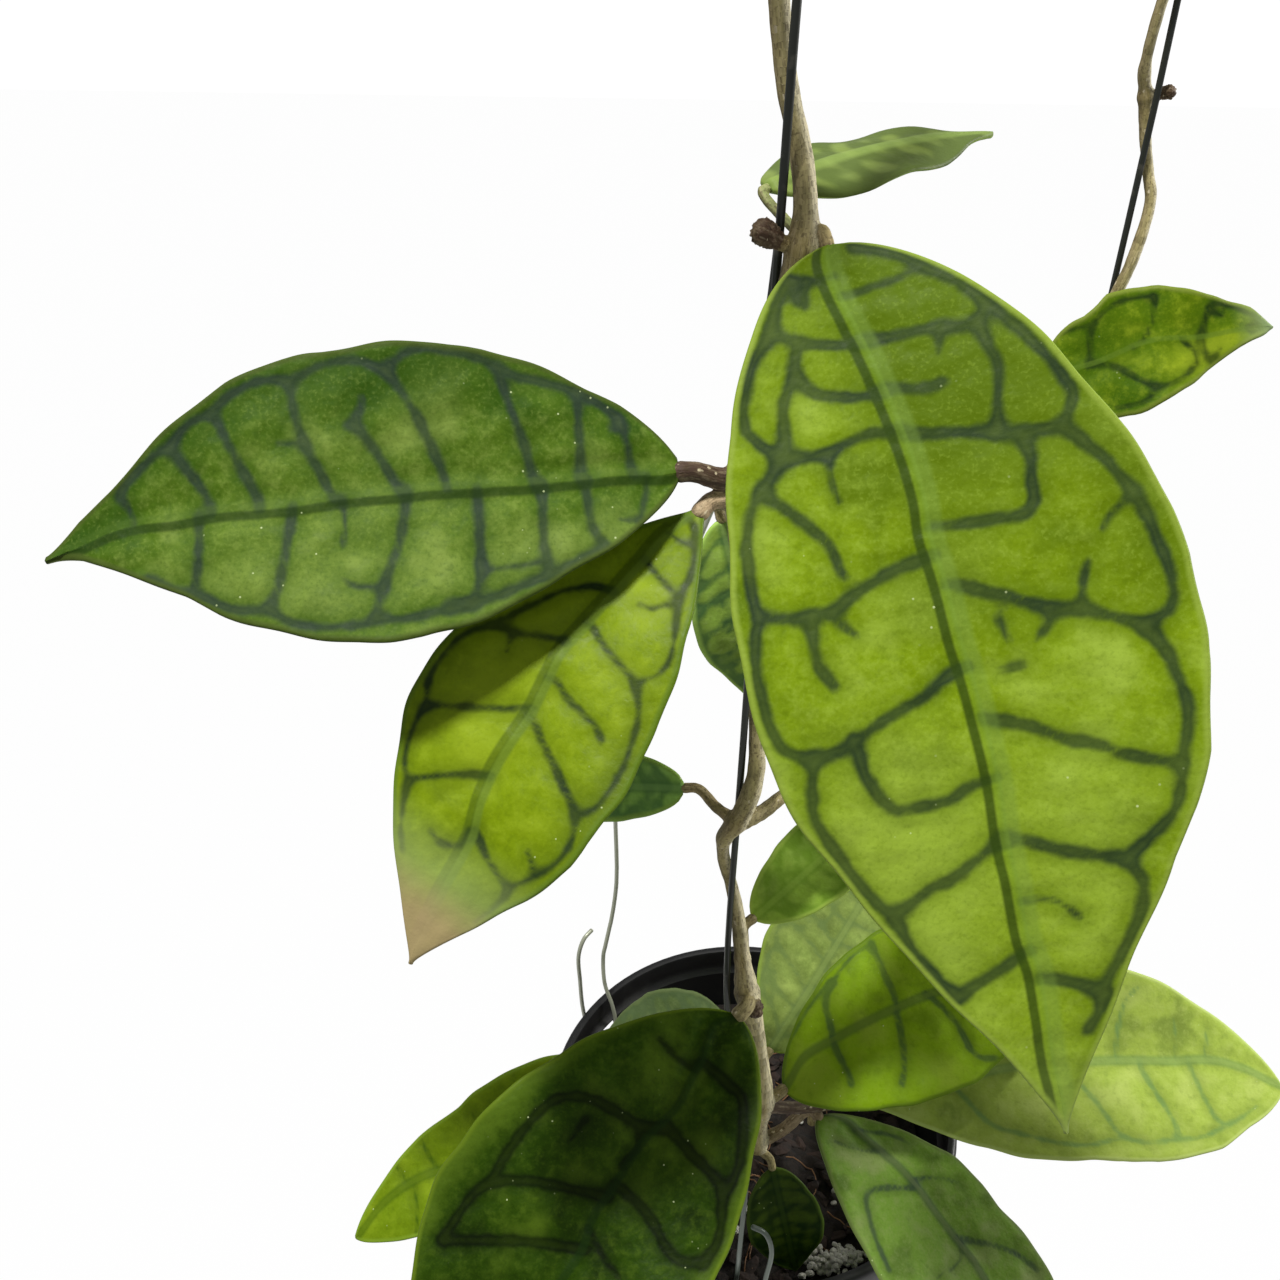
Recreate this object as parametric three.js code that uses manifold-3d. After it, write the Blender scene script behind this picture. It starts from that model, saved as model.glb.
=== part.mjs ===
// Hoya callistophylla in a hanging pot: two woody vines twined up the wires of the hanger.
// Millimetres, +Z up. The origin is the centre of the pot's base, the pot's axis is Z.
// -Y is the side that the largest leaves face.

import * as THREE from 'three';
import { mergeVertices } from 'three/addons/utils/BufferGeometryUtils.js';
import Module from 'manifold-3d';

const wasm = await Module();
wasm.setup();

// Pot
const POT_HEIGHT = 108;
const RIM_RADIUS = 70;
const RIM_BAND = 9.5;
const RIM_LIP = 3.5;
const WALL_RADIUS_TOP = 66;
const BASE_RADIUS = 46;
const WALL = 1.8;
const BASE_THICKNESS = 2.2;
const HANGING_HOLE = { width: 11, height: 7, centreZ: 94, offset: 3 };
const DRAIN_HOLE = { radius: 3, circle: 30, count: 6 };

// Potting mix
const MIX_EDGE_Z = 84;
const MIX_CROWN = 3;
const MIX_ROUGHNESS = 1.1;
const CLEARANCE = 0.35;
const STEM_CLEARANCE = 0.9;

// Hanger: three wires at 120 degrees, gathered in a ferrule under a hook
const WIRE_RADIUS = 0.75;
const WIRE_CIRCLE = 70;
const SHOULDER_Z = 470;
const FERRULE = { bottom: 572, top: 590, radius: 6, wireCircle: 3.4 };
const HOOK = { wire: 1.2, radius: 16, centreZ: 613 };
// foot and upper: where the wire stands round the pot, degrees; it leans over between bendZ
const HANGER_WIRES = [
  { name: 'hanger_wire_front', foot: 262, upper: 254, bendZ: [165, 250] },
  { name: 'hanger_wire_right', foot: 21, upper: 14, bendZ: [130, 200] },
  { name: 'hanger_wire_rear', foot: 141.5, upper: 134, bendZ: [112, 160], bent: [
    [-48.6, 50.4, 215], [-41.3, 45.7, 250], [-27.4, 39, 300], [-14, 32.2, 350], [-10.1, 25.5, 400],
    [-10.8, 20.1, 440], [-9.5, 12.5, 490], [-5.5, 6, 540],
  ] },
];

// Leaves
const BLADE_THICKNESS = 1.4;
const MARGIN_THICKNESS = 0.9;
const MIDRIB_KEEL = 0.9;
const PETIOLE_GAP = 0.75;

const unit = (v) => v.clone().normalize();
const vec = (p) => new THREE.Vector3(p[0], p[1], p[2]);
const lerp = THREE.MathUtils.lerp;
const smooth = (x, a, b) => THREE.MathUtils.smoothstep(x, a, b);

// Seeded random numbers, so that each build is the same
function randomFrom(seed) {
  let state = seed;
  return () => {
    state = (state * 1664525 + 1013904223) % 4294967296;
    return state / 4294967296;
  };
}

function solidOf(geometry) {
  const bare = geometry.clone();
  bare.deleteAttribute('normal');
  bare.deleteAttribute('uv');
  const merged = mergeVertices(bare, 1e-4);
  return new wasm.Manifold(new wasm.Mesh({
    numProp: 3,
    vertProperties: new Float32Array(merged.attributes.position.array),
    triVerts: new Uint32Array(merged.index.array),
  }));
}

function geometryOf(solid) {
  const mesh = solid.getMesh();
  const geometry = new THREE.BufferGeometry();
  geometry.setAttribute('position', new THREE.BufferAttribute(new Float32Array(mesh.vertProperties), 3));
  geometry.setIndex(new THREE.BufferAttribute(new Uint32Array(mesh.triVerts), 1));
  return geometry;
}

// A round tube with a ring of its own radius at each point, closed at both ends
function tube(points, radii, sides) {
  const rings = points.length - 1;
  const geometry = new THREE.CylinderGeometry(1, 1, 1, sides, rings);
  const tangents = points.map((p, i) => {
    const before = points[Math.max(i - 1, 0)];
    const after = points[Math.min(i + 1, rings)];
    return after.clone().sub(before).normalize();
  });
  const start = Math.abs(tangents[0].z) > 0.8 ? new THREE.Vector3(1, 0, 0) : new THREE.Vector3(0, 0, 1);
  const normals = [];
  for (let i = 0; i <= rings; i += 1) {
    const carried = i === 0 ? start : normals[i - 1];
    normals.push(unit(carried.clone().addScaledVector(tangents[i], -carried.dot(tangents[i]))));
  }
  const position = geometry.attributes.position;
  for (let i = 0; i < position.count; i += 1) {
    const ring = Math.round((0.5 - position.getY(i)) * rings);
    const side = new THREE.Vector3().crossVectors(tangents[ring], normals[ring]);
    const place = points[ring].clone()
      .addScaledVector(normals[ring], position.getX(i) * radii[ring])
      .addScaledVector(side, position.getZ(i) * radii[ring]);
    position.setXYZ(i, place.x, place.y, place.z);
  }
  geometry.deleteAttribute('normal');
  geometry.deleteAttribute('uv');
  return mergeVertices(geometry, 1e-4);
}

// Points and radii along a smooth curve through rows [x, y, z, radius], with steps between rows
function alongRows(rows, steps) {
  const curve = new THREE.CatmullRomCurve3(rows.map(vec), false, 'centripetal');
  const points = [];
  const radii = [];
  const spans = rows.length - 1;
  for (let i = 0; i <= spans * steps; i += 1) {
    const t = i / (spans * steps);
    const span = Math.min(Math.floor(t * spans), spans - 1);
    const part = t * spans - span;
    points.push(curve.getPoint(t));
    radii.push(lerp(rows[span][3], rows[span + 1][3], smooth(part, 0, 1)));
  }
  return { points, radii };
}

// Where a hanger wire passes at a height: it stands on a circle, then shoulders in to the ferrule
function wireRadiusAt(z) {
  const top = FERRULE.bottom;
  const t = THREE.MathUtils.clamp((z - SHOULDER_Z) / (top - SHOULDER_Z), 0, 1);
  return lerp(WIRE_CIRCLE, FERRULE.wireCircle, 0.5 - 0.5 * Math.cos(Math.PI * t));
}

function wireAt(wire, z) {
  const lean = smooth(z, wire.bendZ[0], wire.bendZ[1]);
  const angle = THREE.MathUtils.degToRad(lerp(wire.foot, wire.upper, lean));
  const radius = wireRadiusAt(z);
  return new THREE.Vector3(radius * Math.cos(angle), radius * Math.sin(angle), z);
}

// A hanger wire: inside the rim, out through the wall's hole, and back up as a clip
function hangerWire(wire) {
  const angle = THREE.MathUtils.degToRad(wire.foot);
  const out = new THREE.Vector3(Math.cos(angle), Math.sin(angle), 0);
  const along = new THREE.Vector3(-Math.sin(angle), Math.cos(angle), 0);
  const clip = [
    [3, 70.8, 145], [6.5, 71.2, 143.5], [9, 71.8, 137], [8.4, 72.0, 122], [7, 72.2, 106],
    [5.6, 71.6, 97.5], [4.3, 69.4, 93.6], [2.4, 66.3, 92.4], [0.9, 63.1, 94], [0, 62.2, 99],
    [0, 63.6, 107], [0, 67.4, 117],
  ];
  const points = clip.map(([t, r, z]) => out.clone().multiplyScalar(r).addScaledVector(along, t).setZ(z));
  const [low, high] = wire.bendZ;
  const heights = [128, 144, 160, low + 20, high - 20, high];
  [...new Set(heights)].filter((z) => z > 125 && z <= high).sort((a, b) => a - b)
    .forEach((z) => points.push(wireAt(wire, z)));
  const steps = 8;
  if (wire.bent) {
    const curve = new THREE.CatmullRomCurve3([...wire.bent.map(vec), wireAt(wire, FERRULE.bottom)]);
    points.push(...curve.getSpacedPoints(steps * 2));
  } else {
    points.push(wireAt(wire, 320));
    for (let i = 0; i <= steps; i += 1) {
      points.push(wireAt(wire, lerp(SHOULDER_Z, FERRULE.bottom, i / steps)));
    }
  }
  const inFerrule = wireAt(wire, FERRULE.bottom).setZ(FERRULE.top - 4);
  points.push(inFerrule);
  return tube(points, points.map(() => WIRE_RADIUS), 6);
}

// Pot
function potShell() {
  const outerTop = POT_HEIGHT - RIM_BAND;
  const innerTop = WALL_RADIUS_TOP - WALL;
  const profile = [
    [0, 0], [BASE_RADIUS, 0], [BASE_RADIUS + 1.5, 1.5], [WALL_RADIUS_TOP, outerTop - 1],
    [RIM_RADIUS - 0.6, outerTop], [RIM_RADIUS, outerTop + 0.8], [RIM_RADIUS, POT_HEIGHT - 1],
    [RIM_RADIUS - 0.9, POT_HEIGHT], [RIM_RADIUS - RIM_LIP + 0.8, POT_HEIGHT],
    [RIM_RADIUS - RIM_LIP, POT_HEIGHT - 0.8], [RIM_RADIUS - RIM_LIP - 0.2, outerTop + 1.5],
    [innerTop, outerTop - 0.6], [BASE_RADIUS + 0.2, BASE_THICKNESS + 1.4],
    [BASE_RADIUS - 1.2, BASE_THICKNESS], [0, BASE_THICKNESS],
  ];
  const lathe = new THREE.LatheGeometry(profile.map(([r, z]) => new THREE.Vector2(r, z)), 32);
  lathe.rotateX(Math.PI / 2);
  let pot = solidOf(lathe);
  for (const wire of HANGER_WIRES) {
    const hole = new THREE.BoxGeometry(12, HANGING_HOLE.width, HANGING_HOLE.height);
    hole.translate(WALL_RADIUS_TOP - 1, HANGING_HOLE.offset, HANGING_HOLE.centreZ);
    hole.rotateZ(THREE.MathUtils.degToRad(wire.foot));
    pot = pot.subtract(solidOf(hole));
  }
  for (let i = 0; i < DRAIN_HOLE.count; i += 1) {
    const drain = new THREE.CylinderGeometry(DRAIN_HOLE.radius, DRAIN_HOLE.radius, 10, 8);
    drain.rotateX(Math.PI / 2);
    drain.translate(DRAIN_HOLE.circle, 0, 0);
    drain.rotateZ((i / DRAIN_HOLE.count) * 2 * Math.PI);
    pot = pot.subtract(solidOf(drain));
  }
  return geometryOf(pot);
}

// Potting mix: fills the pot, with a rough crown and a plain hole for each stem
function pottingMix(stems) {
  const innerTop = WALL_RADIUS_TOP - WALL;
  const innerHeight = POT_HEIGHT - RIM_BAND - BASE_THICKNESS;
  const slope = (innerTop - BASE_RADIUS) / innerHeight;
  const edge = BASE_RADIUS + slope * (MIX_EDGE_Z - BASE_THICKNESS) - 2 * CLEARANCE;
  const rings = [0.82, 0.64, 0.46, 0.28, 0.1];
  const profile = [[0, BASE_THICKNESS + CLEARANCE], [BASE_RADIUS - 2, BASE_THICKNESS + CLEARANCE],
    [edge, MIX_EDGE_Z], ...rings.map((k) => [edge * k, MIX_EDGE_Z + MIX_CROWN * (1 - k * k)]),
    [0, MIX_EDGE_Z + MIX_CROWN]];
  const lathe = new THREE.LatheGeometry(profile.map(([r, z]) => new THREE.Vector2(r, z)), 20);
  lathe.rotateX(Math.PI / 2);
  lathe.deleteAttribute('normal');
  lathe.deleteAttribute('uv');
  const geometry = mergeVertices(lathe, 1e-4);
  const random = randomFrom(7);
  const position = geometry.attributes.position;
  for (let i = 0; i < position.count; i += 1) {
    const bump = (random() * 2 - 1) * MIX_ROUGHNESS;
    const radius = Math.hypot(position.getX(i), position.getY(i));
    if (position.getZ(i) > MIX_EDGE_Z && radius < edge * 0.9) position.setZ(i, position.getZ(i) + bump);
  }
  let mix = solidOf(geometry);
  for (const stem of stems) {
    const [x, y, foot, radius] = stem[0];
    const bore = new THREE.CylinderGeometry(radius + STEM_CLEARANCE, radius + STEM_CLEARANCE, 60, 10);
    bore.rotateX(Math.PI / 2);
    bore.translate(x, y, foot - CLEARANCE + 30);
    mix = mix.subtract(solidOf(bore));
  }
  return geometryOf(mix);
}

// Ferrule: a crimped sleeve with three holes for the wires and one for the hook's shank
function ferrule() {
  const { bottom, top, radius, wireCircle } = FERRULE;
  const sleeve = new THREE.LatheGeometry([
    [0, bottom], [radius - 0.8, bottom], [radius, bottom + 0.8], [radius, top - 0.8],
    [radius - 0.8, top], [0, top],
  ].map(([r, z]) => new THREE.Vector2(r, z)), 12);
  sleeve.rotateX(Math.PI / 2);
  let solid = solidOf(sleeve);
  const hole = (r, x, angle, from, to) => {
    const cutter = new THREE.CylinderGeometry(r, r, to - from, 12);
    cutter.rotateX(Math.PI / 2);
    cutter.translate(x, 0, (from + to) / 2);
    cutter.rotateZ(THREE.MathUtils.degToRad(angle));
    solid = solid.subtract(solidOf(cutter));
  };
  for (const wire of HANGER_WIRES) {
    hole(WIRE_RADIUS + CLEARANCE, wireCircle, wire.upper, bottom - 1, top - 3);
  }
  hole(HOOK.wire + CLEARANCE, 0, 0, bottom + 6, top + 1);
  return geometryOf(solid);
}

function hook() {
  const { radius, centreZ } = HOOK;
  const points = [[0, 0, FERRULE.bottom + 7], [0, 0, FERRULE.top], [0.3, 0, FERRULE.top + 4]].map(vec);
  const steps = 16;
  for (let i = 0; i <= steps; i += 1) {
    const angle = THREE.MathUtils.degToRad(lerp(-62, 212, i / steps));
    points.push(new THREE.Vector3(radius * Math.cos(angle), 0, centreZ + radius * Math.sin(angle)));
  }
  points.push(new THREE.Vector3(-radius * 1.05, 0, centreZ - radius * 0.78));
  return tube(points, points.map(() => HOOK.wire), 8);
}

// A vine's path: free rows from the mix to the wire, then rows [z, turn, gap, radius] round it.
// turn is the side of the wire in degrees, rising as the vine twines, gap the space left between.
function vineRows(vine) {
  const wire = HANGER_WIRES[vine.wire];
  const twined = vine.twining.map(([z, turn, gap, radius]) => {
    const centre = wireAt(wire, z);
    const away = WIRE_RADIUS + gap + radius;
    const angle = THREE.MathUtils.degToRad(turn);
    return [centre.x + away * Math.cos(angle), centre.y + away * Math.sin(angle), z, radius];
  });
  return [...vine.foot, ...twined];
}

// The turning between two rows of a vine is filled in, so that it stays clear of the wire
function fillTurns(rows) {
  const filled = [];
  for (let i = 0; i < rows.length - 1; i += 1) {
    const [z0, turn0, gap0, r0] = rows[i];
    const [z1, turn1, gap1, r1] = rows[i + 1];
    const pieces = Math.max(1, Math.round((turn1 - turn0) / 40));
    for (let k = 0; k < pieces; k += 1) {
      const t = k / pieces;
      filled.push([lerp(z0, z1, t), lerp(turn0, turn1, t), lerp(gap0, gap1, t), lerp(r0, r1, t)]);
    }
  }
  filled.push(rows[rows.length - 1]);
  return filled;
}

const FRONT_VINE = {
  wire: 0,
  foot: [
    [0.5, -2, 50, 2.6], [0.5, -2, 70, 2.6], [0.5, -2.5, 90, 2.6], [-0.8, -16, 110, 2.5], [-3, -38, 137, 3.4],
    [-4, -45, 157, 2.5], [-4.5, -50, 174, 3.2], [-8, -58, 207, 2.5], [-13.6, -65, 238, 3.9],
  ],
  twining: fillTurns([
    [252, 5, 0.9, 2.5], [275, 95, 0.6, 2.1], [288, 170, 0.6, 2.1], [300, 262, 0.6, 2.9],
    [318, 375, 0.6, 2.0], [348, 450, 0.6, 1.9], [381, 545, 0.6, 2.9], [404, 610, 0.6, 1.9],
    [424, 681, 0.9, 2.9], [432, 712, 0.8, 2.0], [439, 765, 0.7, 1.9], [447, 810, 0.7, 1.8],
    [458, 855, 0.7, 1.7], [480, 960, 0.9, 1.5], [498, 1040, 1.2, 1.7], [508, 1080, 1.6, 0.9],
  ]),
};
const RIGHT_VINE = {
  wire: 1,
  foot: [[24, 8, 52, 2.0], [24, 8, 72, 2.0], [24.2, 8, 91, 2.0], [30, 9, 108, 1.9], [47, 14, 148, 1.8]],
  twining: fillTurns([
    [190, -540, 0.8, 1.9], [235, -430, 0.8, 1.6], [287, -320, 0.8, 2.2], [335, -210, 0.8, 1.5],
    [375, -125, 0.8, 2.2], [387, -90, 0.9, 1.4], [397, -45, 1.6, 1.4], [410, 0, 2.6, 1.3],
    [415, 25, 1.8, 1.3], [424, 70, 0.8, 1.3], [431, 96, 0.7, 1.7], [440, 165, 1.0, 1.2],
    [450, 195, 0.9, 1.2], [470, 270, 0.8, 1.2], [490, 350, 1.0, 1.4], [499, 390, 1.6, 0.8],
  ]),
};

// Leaves. base and tip of the midrib, up: the way the upper face looks, width across the blade.
// wide: where the blade is widest along it; full and point: how round the base and the tip are;
// sweep and arch: bow of the midrib to the side and to the face; fold: how far the halves stand up;
// wave: height of the margin's waves; from: where its petiole leaves the vine; stalk: its radius;
// neck: the petiole's last stretch, in line with the blade.
const leafDefaults = {
  wide: 0.45, full: 0.6, point: 1.1, sweep: 0, arch: 4, fold: 0.1, wave: 1, phase: 0, neck: 2.5,
};
const FRONT_LEAVES = [
  { name: 'leaf_01', base: [-12, -73, 425.5], tip: [26, -157, 314], up: [-0.15, -0.81, 0.57], width: 68.8,
    wide: 0.465, point: 1.18, sweep: -3.4, arch: 6, from: [-16.5, -70, 424.5], stalk: 2.3 },
  { name: 'leaf_02', base: [-35, -71, 384], tip: [-145.3, -87.5, 373], up: [0.06, -0.73, 0.68], width: 53,
    wide: 0.5, full: 0.64, point: 1.2, sweep: 3.1, arch: 6, fold: 0.12, phase: 0.3,
    from: [-23, -68, 381.5], stalk: 2.1 },
  { name: 'leaf_03', base: [-31, -72, 376], tip: [-81.5, -123.5, 312.5], up: [-0.17, -0.69, 0.71],
    width: 44.5, wide: 0.53, full: 0.75, sweep: 3.4, arch: 5, from: [-23, -68, 379.5], stalk: 1.9 },
  { name: 'leaf_04', base: [-21, -59, 431], tip: [22, -31.5, 434], up: [0, 0.12, -0.99], width: 20,
    wide: 0.4, arch: -2, from: [-14.5, -67.4, 425], stalk: 1.2, neck: 0.6 },
  { name: 'leaf_06', base: [-25.5, -56, 366], tip: [-11, -52, 315], up: [-0.2, -0.75, 0.6], width: 22,
    from: [-22, -65.6, 376], stalk: 1.3 },
  { name: 'leaf_07', base: [-31.5, -65, 304], tip: [-73, -55, 296.5], up: [-0.3, -0.7, 0.6], width: 16,
    full: 0.5, from: [-20, -71, 300], stalk: 1.7 },
  { name: 'leaf_08', base: [-7, -62, 301], tip: [49, -9, 291], up: [0.1, -0.6, 0.8], width: 34,
    phase: 0.5, from: [-18.5, -71, 300], stalk: 2.2 },
  { name: 'leaf_09', base: [-13, -61.5, 260.5], tip: [25, -32, 277.5], up: [0.19, -0.56, 0.81], width: 20,
    point: 1.3, arch: 3, from: [-15.6, -65.8, 254], stalk: 1.4 },
  { name: 'leaf_10', base: [1.8, -47.6, 176.8], tip: [76.5, -23.8, 202.6], up: [0.12, -0.5, 0.86], width: 48,
    wide: 0.55, full: 0.5, point: 0.8, sweep: -4, wave: 1.5, from: [-4.5, -49.5, 174], stalk: 1.9 },
  { name: 'leaf_11', base: [22.6, -41.8, 164.5], tip: [146, -43.8, 176], up: [-0.08, -0.6, 0.8], width: 55,
    wide: 0.54, full: 0.9, point: 0.7, sweep: -9, arch: 6, from: [-4.5, -50, 172], stalk: 1.8 },
  { name: 'leaf_12', base: [13.5, -45, 160], tip: [80, -117, 103], up: [0.33, -0.43, 0.84], width: 47,
    wide: 0.57, full: 0.45, point: 0.65, sweep: -5, from: [-3, -38.5, 138], stalk: 1.9 },
  { name: 'leaf_13', base: [-16.5, -73.5, 239], tip: [-82, -145, 171], up: [-0.06, -0.66, 0.75], width: 66.5,
    wide: 0.54, full: 0.5, point: 0.8, sweep: 5, arch: 7, wave: 1.8, phase: 0.2,
    from: [-14, -66, 238], stalk: 2.2 },
  { name: 'leaf_14', base: [-21, -60, 187], tip: [-117, -81, 154], up: [-0.18, -0.54, 0.82], width: 38,
    wide: 0.42, full: 0.5, point: 0.7, sweep: 8, from: [-4.8, -50.5, 175], stalk: 1.7 },
  { name: 'leaf_15', base: [-9, -6, 146], tip: [-51, 8, 130], up: [-0.2, -0.75, 0.6], width: 34,
    wide: 0.42, full: 0.5, point: 0.85, arch: 3, from: [-3, -38, 137.5], stalk: 1.6 },
  { name: 'leaf_16', base: [2, -42, 130], tip: [11, -54, 94], up: [0, -0.8, 0.6], width: 24,
    wide: 0.5, full: 0.5, point: 0.9, arch: 2, from: [-3, -38, 136], stalk: 1.4 },
  { name: 'leaf_17', base: [-1.5, -35, 178], tip: [40, 23, 204], up: [0.1, -0.6, 0.8], width: 42,
    wide: 0.5, point: 1, phase: 0.4, from: [-4.5, -49.5, 175], stalk: 1.6 },
  { name: 'leaf_18', base: [-29, -80, 506], tip: [-52, -92, 524], up: [-0.3, 0.3, 0.9], width: 13,
    wide: 0.42, arch: 2, wave: 0.4, from: 'tip', stalk: 0.9 },
  { name: 'leaf_19', base: [-8, -72, 508], tip: [18, -76, 527], up: [0.3, 0.3, 0.9], width: 12,
    wide: 0.42, arch: 2, wave: 0.4, from: 'tip', stalk: 0.9 },
];
const RIGHT_LEAVES = [
  { name: 'leaf_05', base: [52.4, 1.5, 373.4], tip: [101.9, 4, 385.3], up: [-0.1, -0.87, 0.5], width: 27,
    wide: 0.37, full: 0.55, point: 0.88, sweep: -2, arch: 3, from: [66.3, 14.6, 375], stalk: 1.4 },
  { name: 'leaf_20', base: [57.5, 19, 371], tip: [29, 44.5, 343], up: [-0.3, -0.5, 0.8], width: 26,
    from: [66.3, 14.6, 375], stalk: 1.2 },
  { name: 'leaf_21', base: [61, 26, 290], tip: [30, 86, 276], up: [-0.2, -0.5, 0.85], width: 40,
    phase: 0.2, from: [69.8, 18.7, 287], stalk: 1.5 },
  { name: 'leaf_22', base: [78, 24, 289], tip: [121, 102, 290], up: [0.3, -0.5, 0.85], width: 42,
    phase: 0.6, from: [69.8, 18.7, 287], stalk: 1.5 },
  { name: 'leaf_23', base: [59, 20, 203], tip: [55, 94, 186], up: [-0.2, -0.4, 0.85], width: 42,
    phase: 0.4, from: [64.8, 17, 197], stalk: 1.5 },
  { name: 'leaf_24', base: [74, 9, 201], tip: [127, 82, 178], up: [0.3, -0.5, 0.85], width: 44,
    phase: 0.1, from: [65, 14.4, 198], stalk: 1.5 },
  { name: 'leaf_25', base: [74, 22, 503], tip: [92, 40, 518], up: [0.3, -0.3, 0.9], width: 11,
    wide: 0.42, arch: 2, wave: 0.3, from: 'tip', stalk: 0.8 },
  { name: 'leaf_26', base: [75, 9, 503], tip: [93, -8, 516], up: [0.3, 0.3, 0.9], width: 11,
    wide: 0.42, arch: 2, wave: 0.3, from: 'tip', stalk: 0.8 },
];

// Half width of a blade along it, as a share of the largest
function bladeShape(u, leaf) {
  const skew = Math.log(0.5) / Math.log(leaf.wide);
  const hump = Math.max(Math.sin(Math.PI * u ** skew), 0);
  const blend = smooth(u, leaf.wide - 0.15, leaf.wide + 0.15);
  return lerp(hump ** leaf.full, hump ** leaf.point, blend);
}

// A point of a blade's middle surface: u runs from base to tip, v from margin to margin
function bladePoint(leaf, u, v) {
  const base = vec(leaf.base);
  const tip = vec(leaf.tip);
  const length = tip.distanceTo(base);
  const axis = unit(tip.clone().sub(base));
  const face = vec(leaf.up);
  face.addScaledVector(axis, -face.dot(axis)).normalize();
  const side = new THREE.Vector3().crossVectors(axis, face);
  const bow = 4 * u * (1 - u);
  const end = lerp(1.5, 0.4, u);
  const half = Math.hypot((leaf.width / 2) * bladeShape(u, leaf), end);
  const across = v * half;
  const wave = leaf.wave * Math.sin(2 * Math.PI * (2.2 * u + 0.2 * Math.sign(v) + leaf.phase));
  const rise = leaf.fold * Math.abs(across) + wave * v * v * Math.sqrt(Math.max(bow, 0));
  return base.addScaledVector(axis, u * length)
    .addScaledVector(face, leaf.arch * bow + rise)
    .addScaledVector(side, leaf.sweep * bow + across);
}

// A blade: upper and lower face on the same grid, split alike, with a rim between them
function blade(leaf, along, across) {
  const rows = [];
  for (let i = 0; i <= along; i += 1) {
    const even = i / along;
    const u = lerp(even, 0.5 - 0.5 * Math.cos(Math.PI * even), 0.7);
    const row = [];
    for (let j = 0; j <= across; j += 1) {
      const v = (2 * j) / across - 1;
      const step = 0.01;
      const behind = bladePoint(leaf, Math.max(u - step, 0), v);
      const alongU = bladePoint(leaf, Math.min(u + step, 1), v).sub(behind);
      const acrossV = bladePoint(leaf, u, v * 0.9 + 0.1).sub(bladePoint(leaf, u, v * 0.9 - 0.1));
      const normal = new THREE.Vector3().crossVectors(acrossV, alongU).normalize();
      const thick = lerp(BLADE_THICKNESS, MARGIN_THICKNESS, v * v);
      const keel = j * 2 === across ? MIDRIB_KEEL * (1 - u) : 0;
      const middle = bladePoint(leaf, u, v);
      row.push([
        middle.clone().addScaledVector(normal, thick / 2),
        middle.clone().addScaledVector(normal, -thick / 2 - keel),
      ]);
    }
    rows.push(row);
  }
  const position = [];
  for (let face = 0; face < 2; face += 1) {
    for (const row of rows) {
      for (const pair of row) position.push(pair[face].x, pair[face].y, pair[face].z);
    }
  }
  const width = across + 1;
  const lower = (along + 1) * width;
  const index = [];
  const quad = (a, b, c, d) => index.push(a, b, c, a, c, d);
  for (let i = 0; i < along; i += 1) {
    for (let j = 0; j < across; j += 1) {
      const a = i * width + j;
      const b = a + 1;
      const c = b + width;
      const d = a + width;
      quad(a, b, c, d);
      index.push(lower + a, lower + c, lower + b, lower + a, lower + d, lower + c);
    }
    const left = i * width;
    const right = left + across;
    quad(left, left + width, lower + left + width, lower + left);
    quad(right + width, right, lower + right, lower + right + width);
  }
  for (let j = 0; j < across; j += 1) {
    const end = along * width + j;
    quad(j + 1, j, lower + j, lower + j + 1);
    quad(end, end + 1, lower + end + 1, lower + end);
  }
  const geometry = new THREE.BufferGeometry();
  geometry.setAttribute('position', new THREE.BufferAttribute(new Float32Array(position), 3));
  geometry.setIndex(index);
  return geometry;
}

// A petiole: from inside the vine to just short of the blade, which it meets straight on
function petiole(leaf, vineTip) {
  const base = vec(leaf.base);
  const axis = unit(bladePoint(leaf, 0.04, 0).sub(bladePoint(leaf, 0, 0)));
  const from = leaf.from === 'tip' ? vineTip : vec(leaf.from);
  const reach = from.distanceTo(base);
  const end = base.clone().addScaledVector(axis, -PETIOLE_GAP);
  const before = base.clone().addScaledVector(axis, -PETIOLE_GAP - Math.min(leaf.neck, reach * 0.35));
  const r = leaf.stalk;
  const middle = from.clone().lerp(before, 0.5);
  middle.z -= Math.min(reach * 0.06, 1.5);
  const rows = [[from, r * 1.1], [middle, r], [before, r * 0.9], [end, r * 0.85]]
    .map(([p, radius]) => [p.x, p.y, p.z, radius]);
  const path = alongRows(rows, 1);
  return tube(path.points, path.radii, 6);
}

// A vine with its petioles and its old, cut side shoots, as one woody body
function vineWood(vine, leaves, stubs) {
  const rows = vineRows(vine);
  const path = alongRows(rows, 1);
  let wood = solidOf(tube(path.points, path.radii, 7));
  const nearTip = path.points[path.points.length - 2];
  for (const leaf of leaves) wood = wood.add(solidOf(petiole(leaf, nearTip)));
  for (const stub of stubs) {
    const line = alongRows(stub, 1);
    wood = wood.add(solidOf(tube(line.points, line.radii, 6)));
  }
  return geometryOf(wood);
}

const FRONT_STUBS = [
  [[-16.5, -70, 424.5, 1.6], [-20, -70.8, 426, 1.5], [-22.6, -70.8, 427.2, 1.9], [-24, -70.7, 427.6, 1.5]],
  [[-13.6, -65.5, 238, 2.4], [-12, -68, 236, 2.2], [-11.5, -69.2, 235, 1.6]],
];
const RIGHT_STUBS = [
  [[67.6, 19.9, 431, 1.2], [70.6, 19.3, 432, 1.1], [72.6, 18.6, 432.5, 1.3]],
];

const finish = (colour, roughness, metalness = 0) => new THREE.MeshStandardMaterial({
  color: colour, roughness, metalness,
});
const group = new THREE.Group();
group.name = 'hoya_callistophylla';

function addPart(name, geometry, material) {
  const mesh = new THREE.Mesh(geometry, material);
  mesh.name = name;
  group.add(mesh);
}

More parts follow.
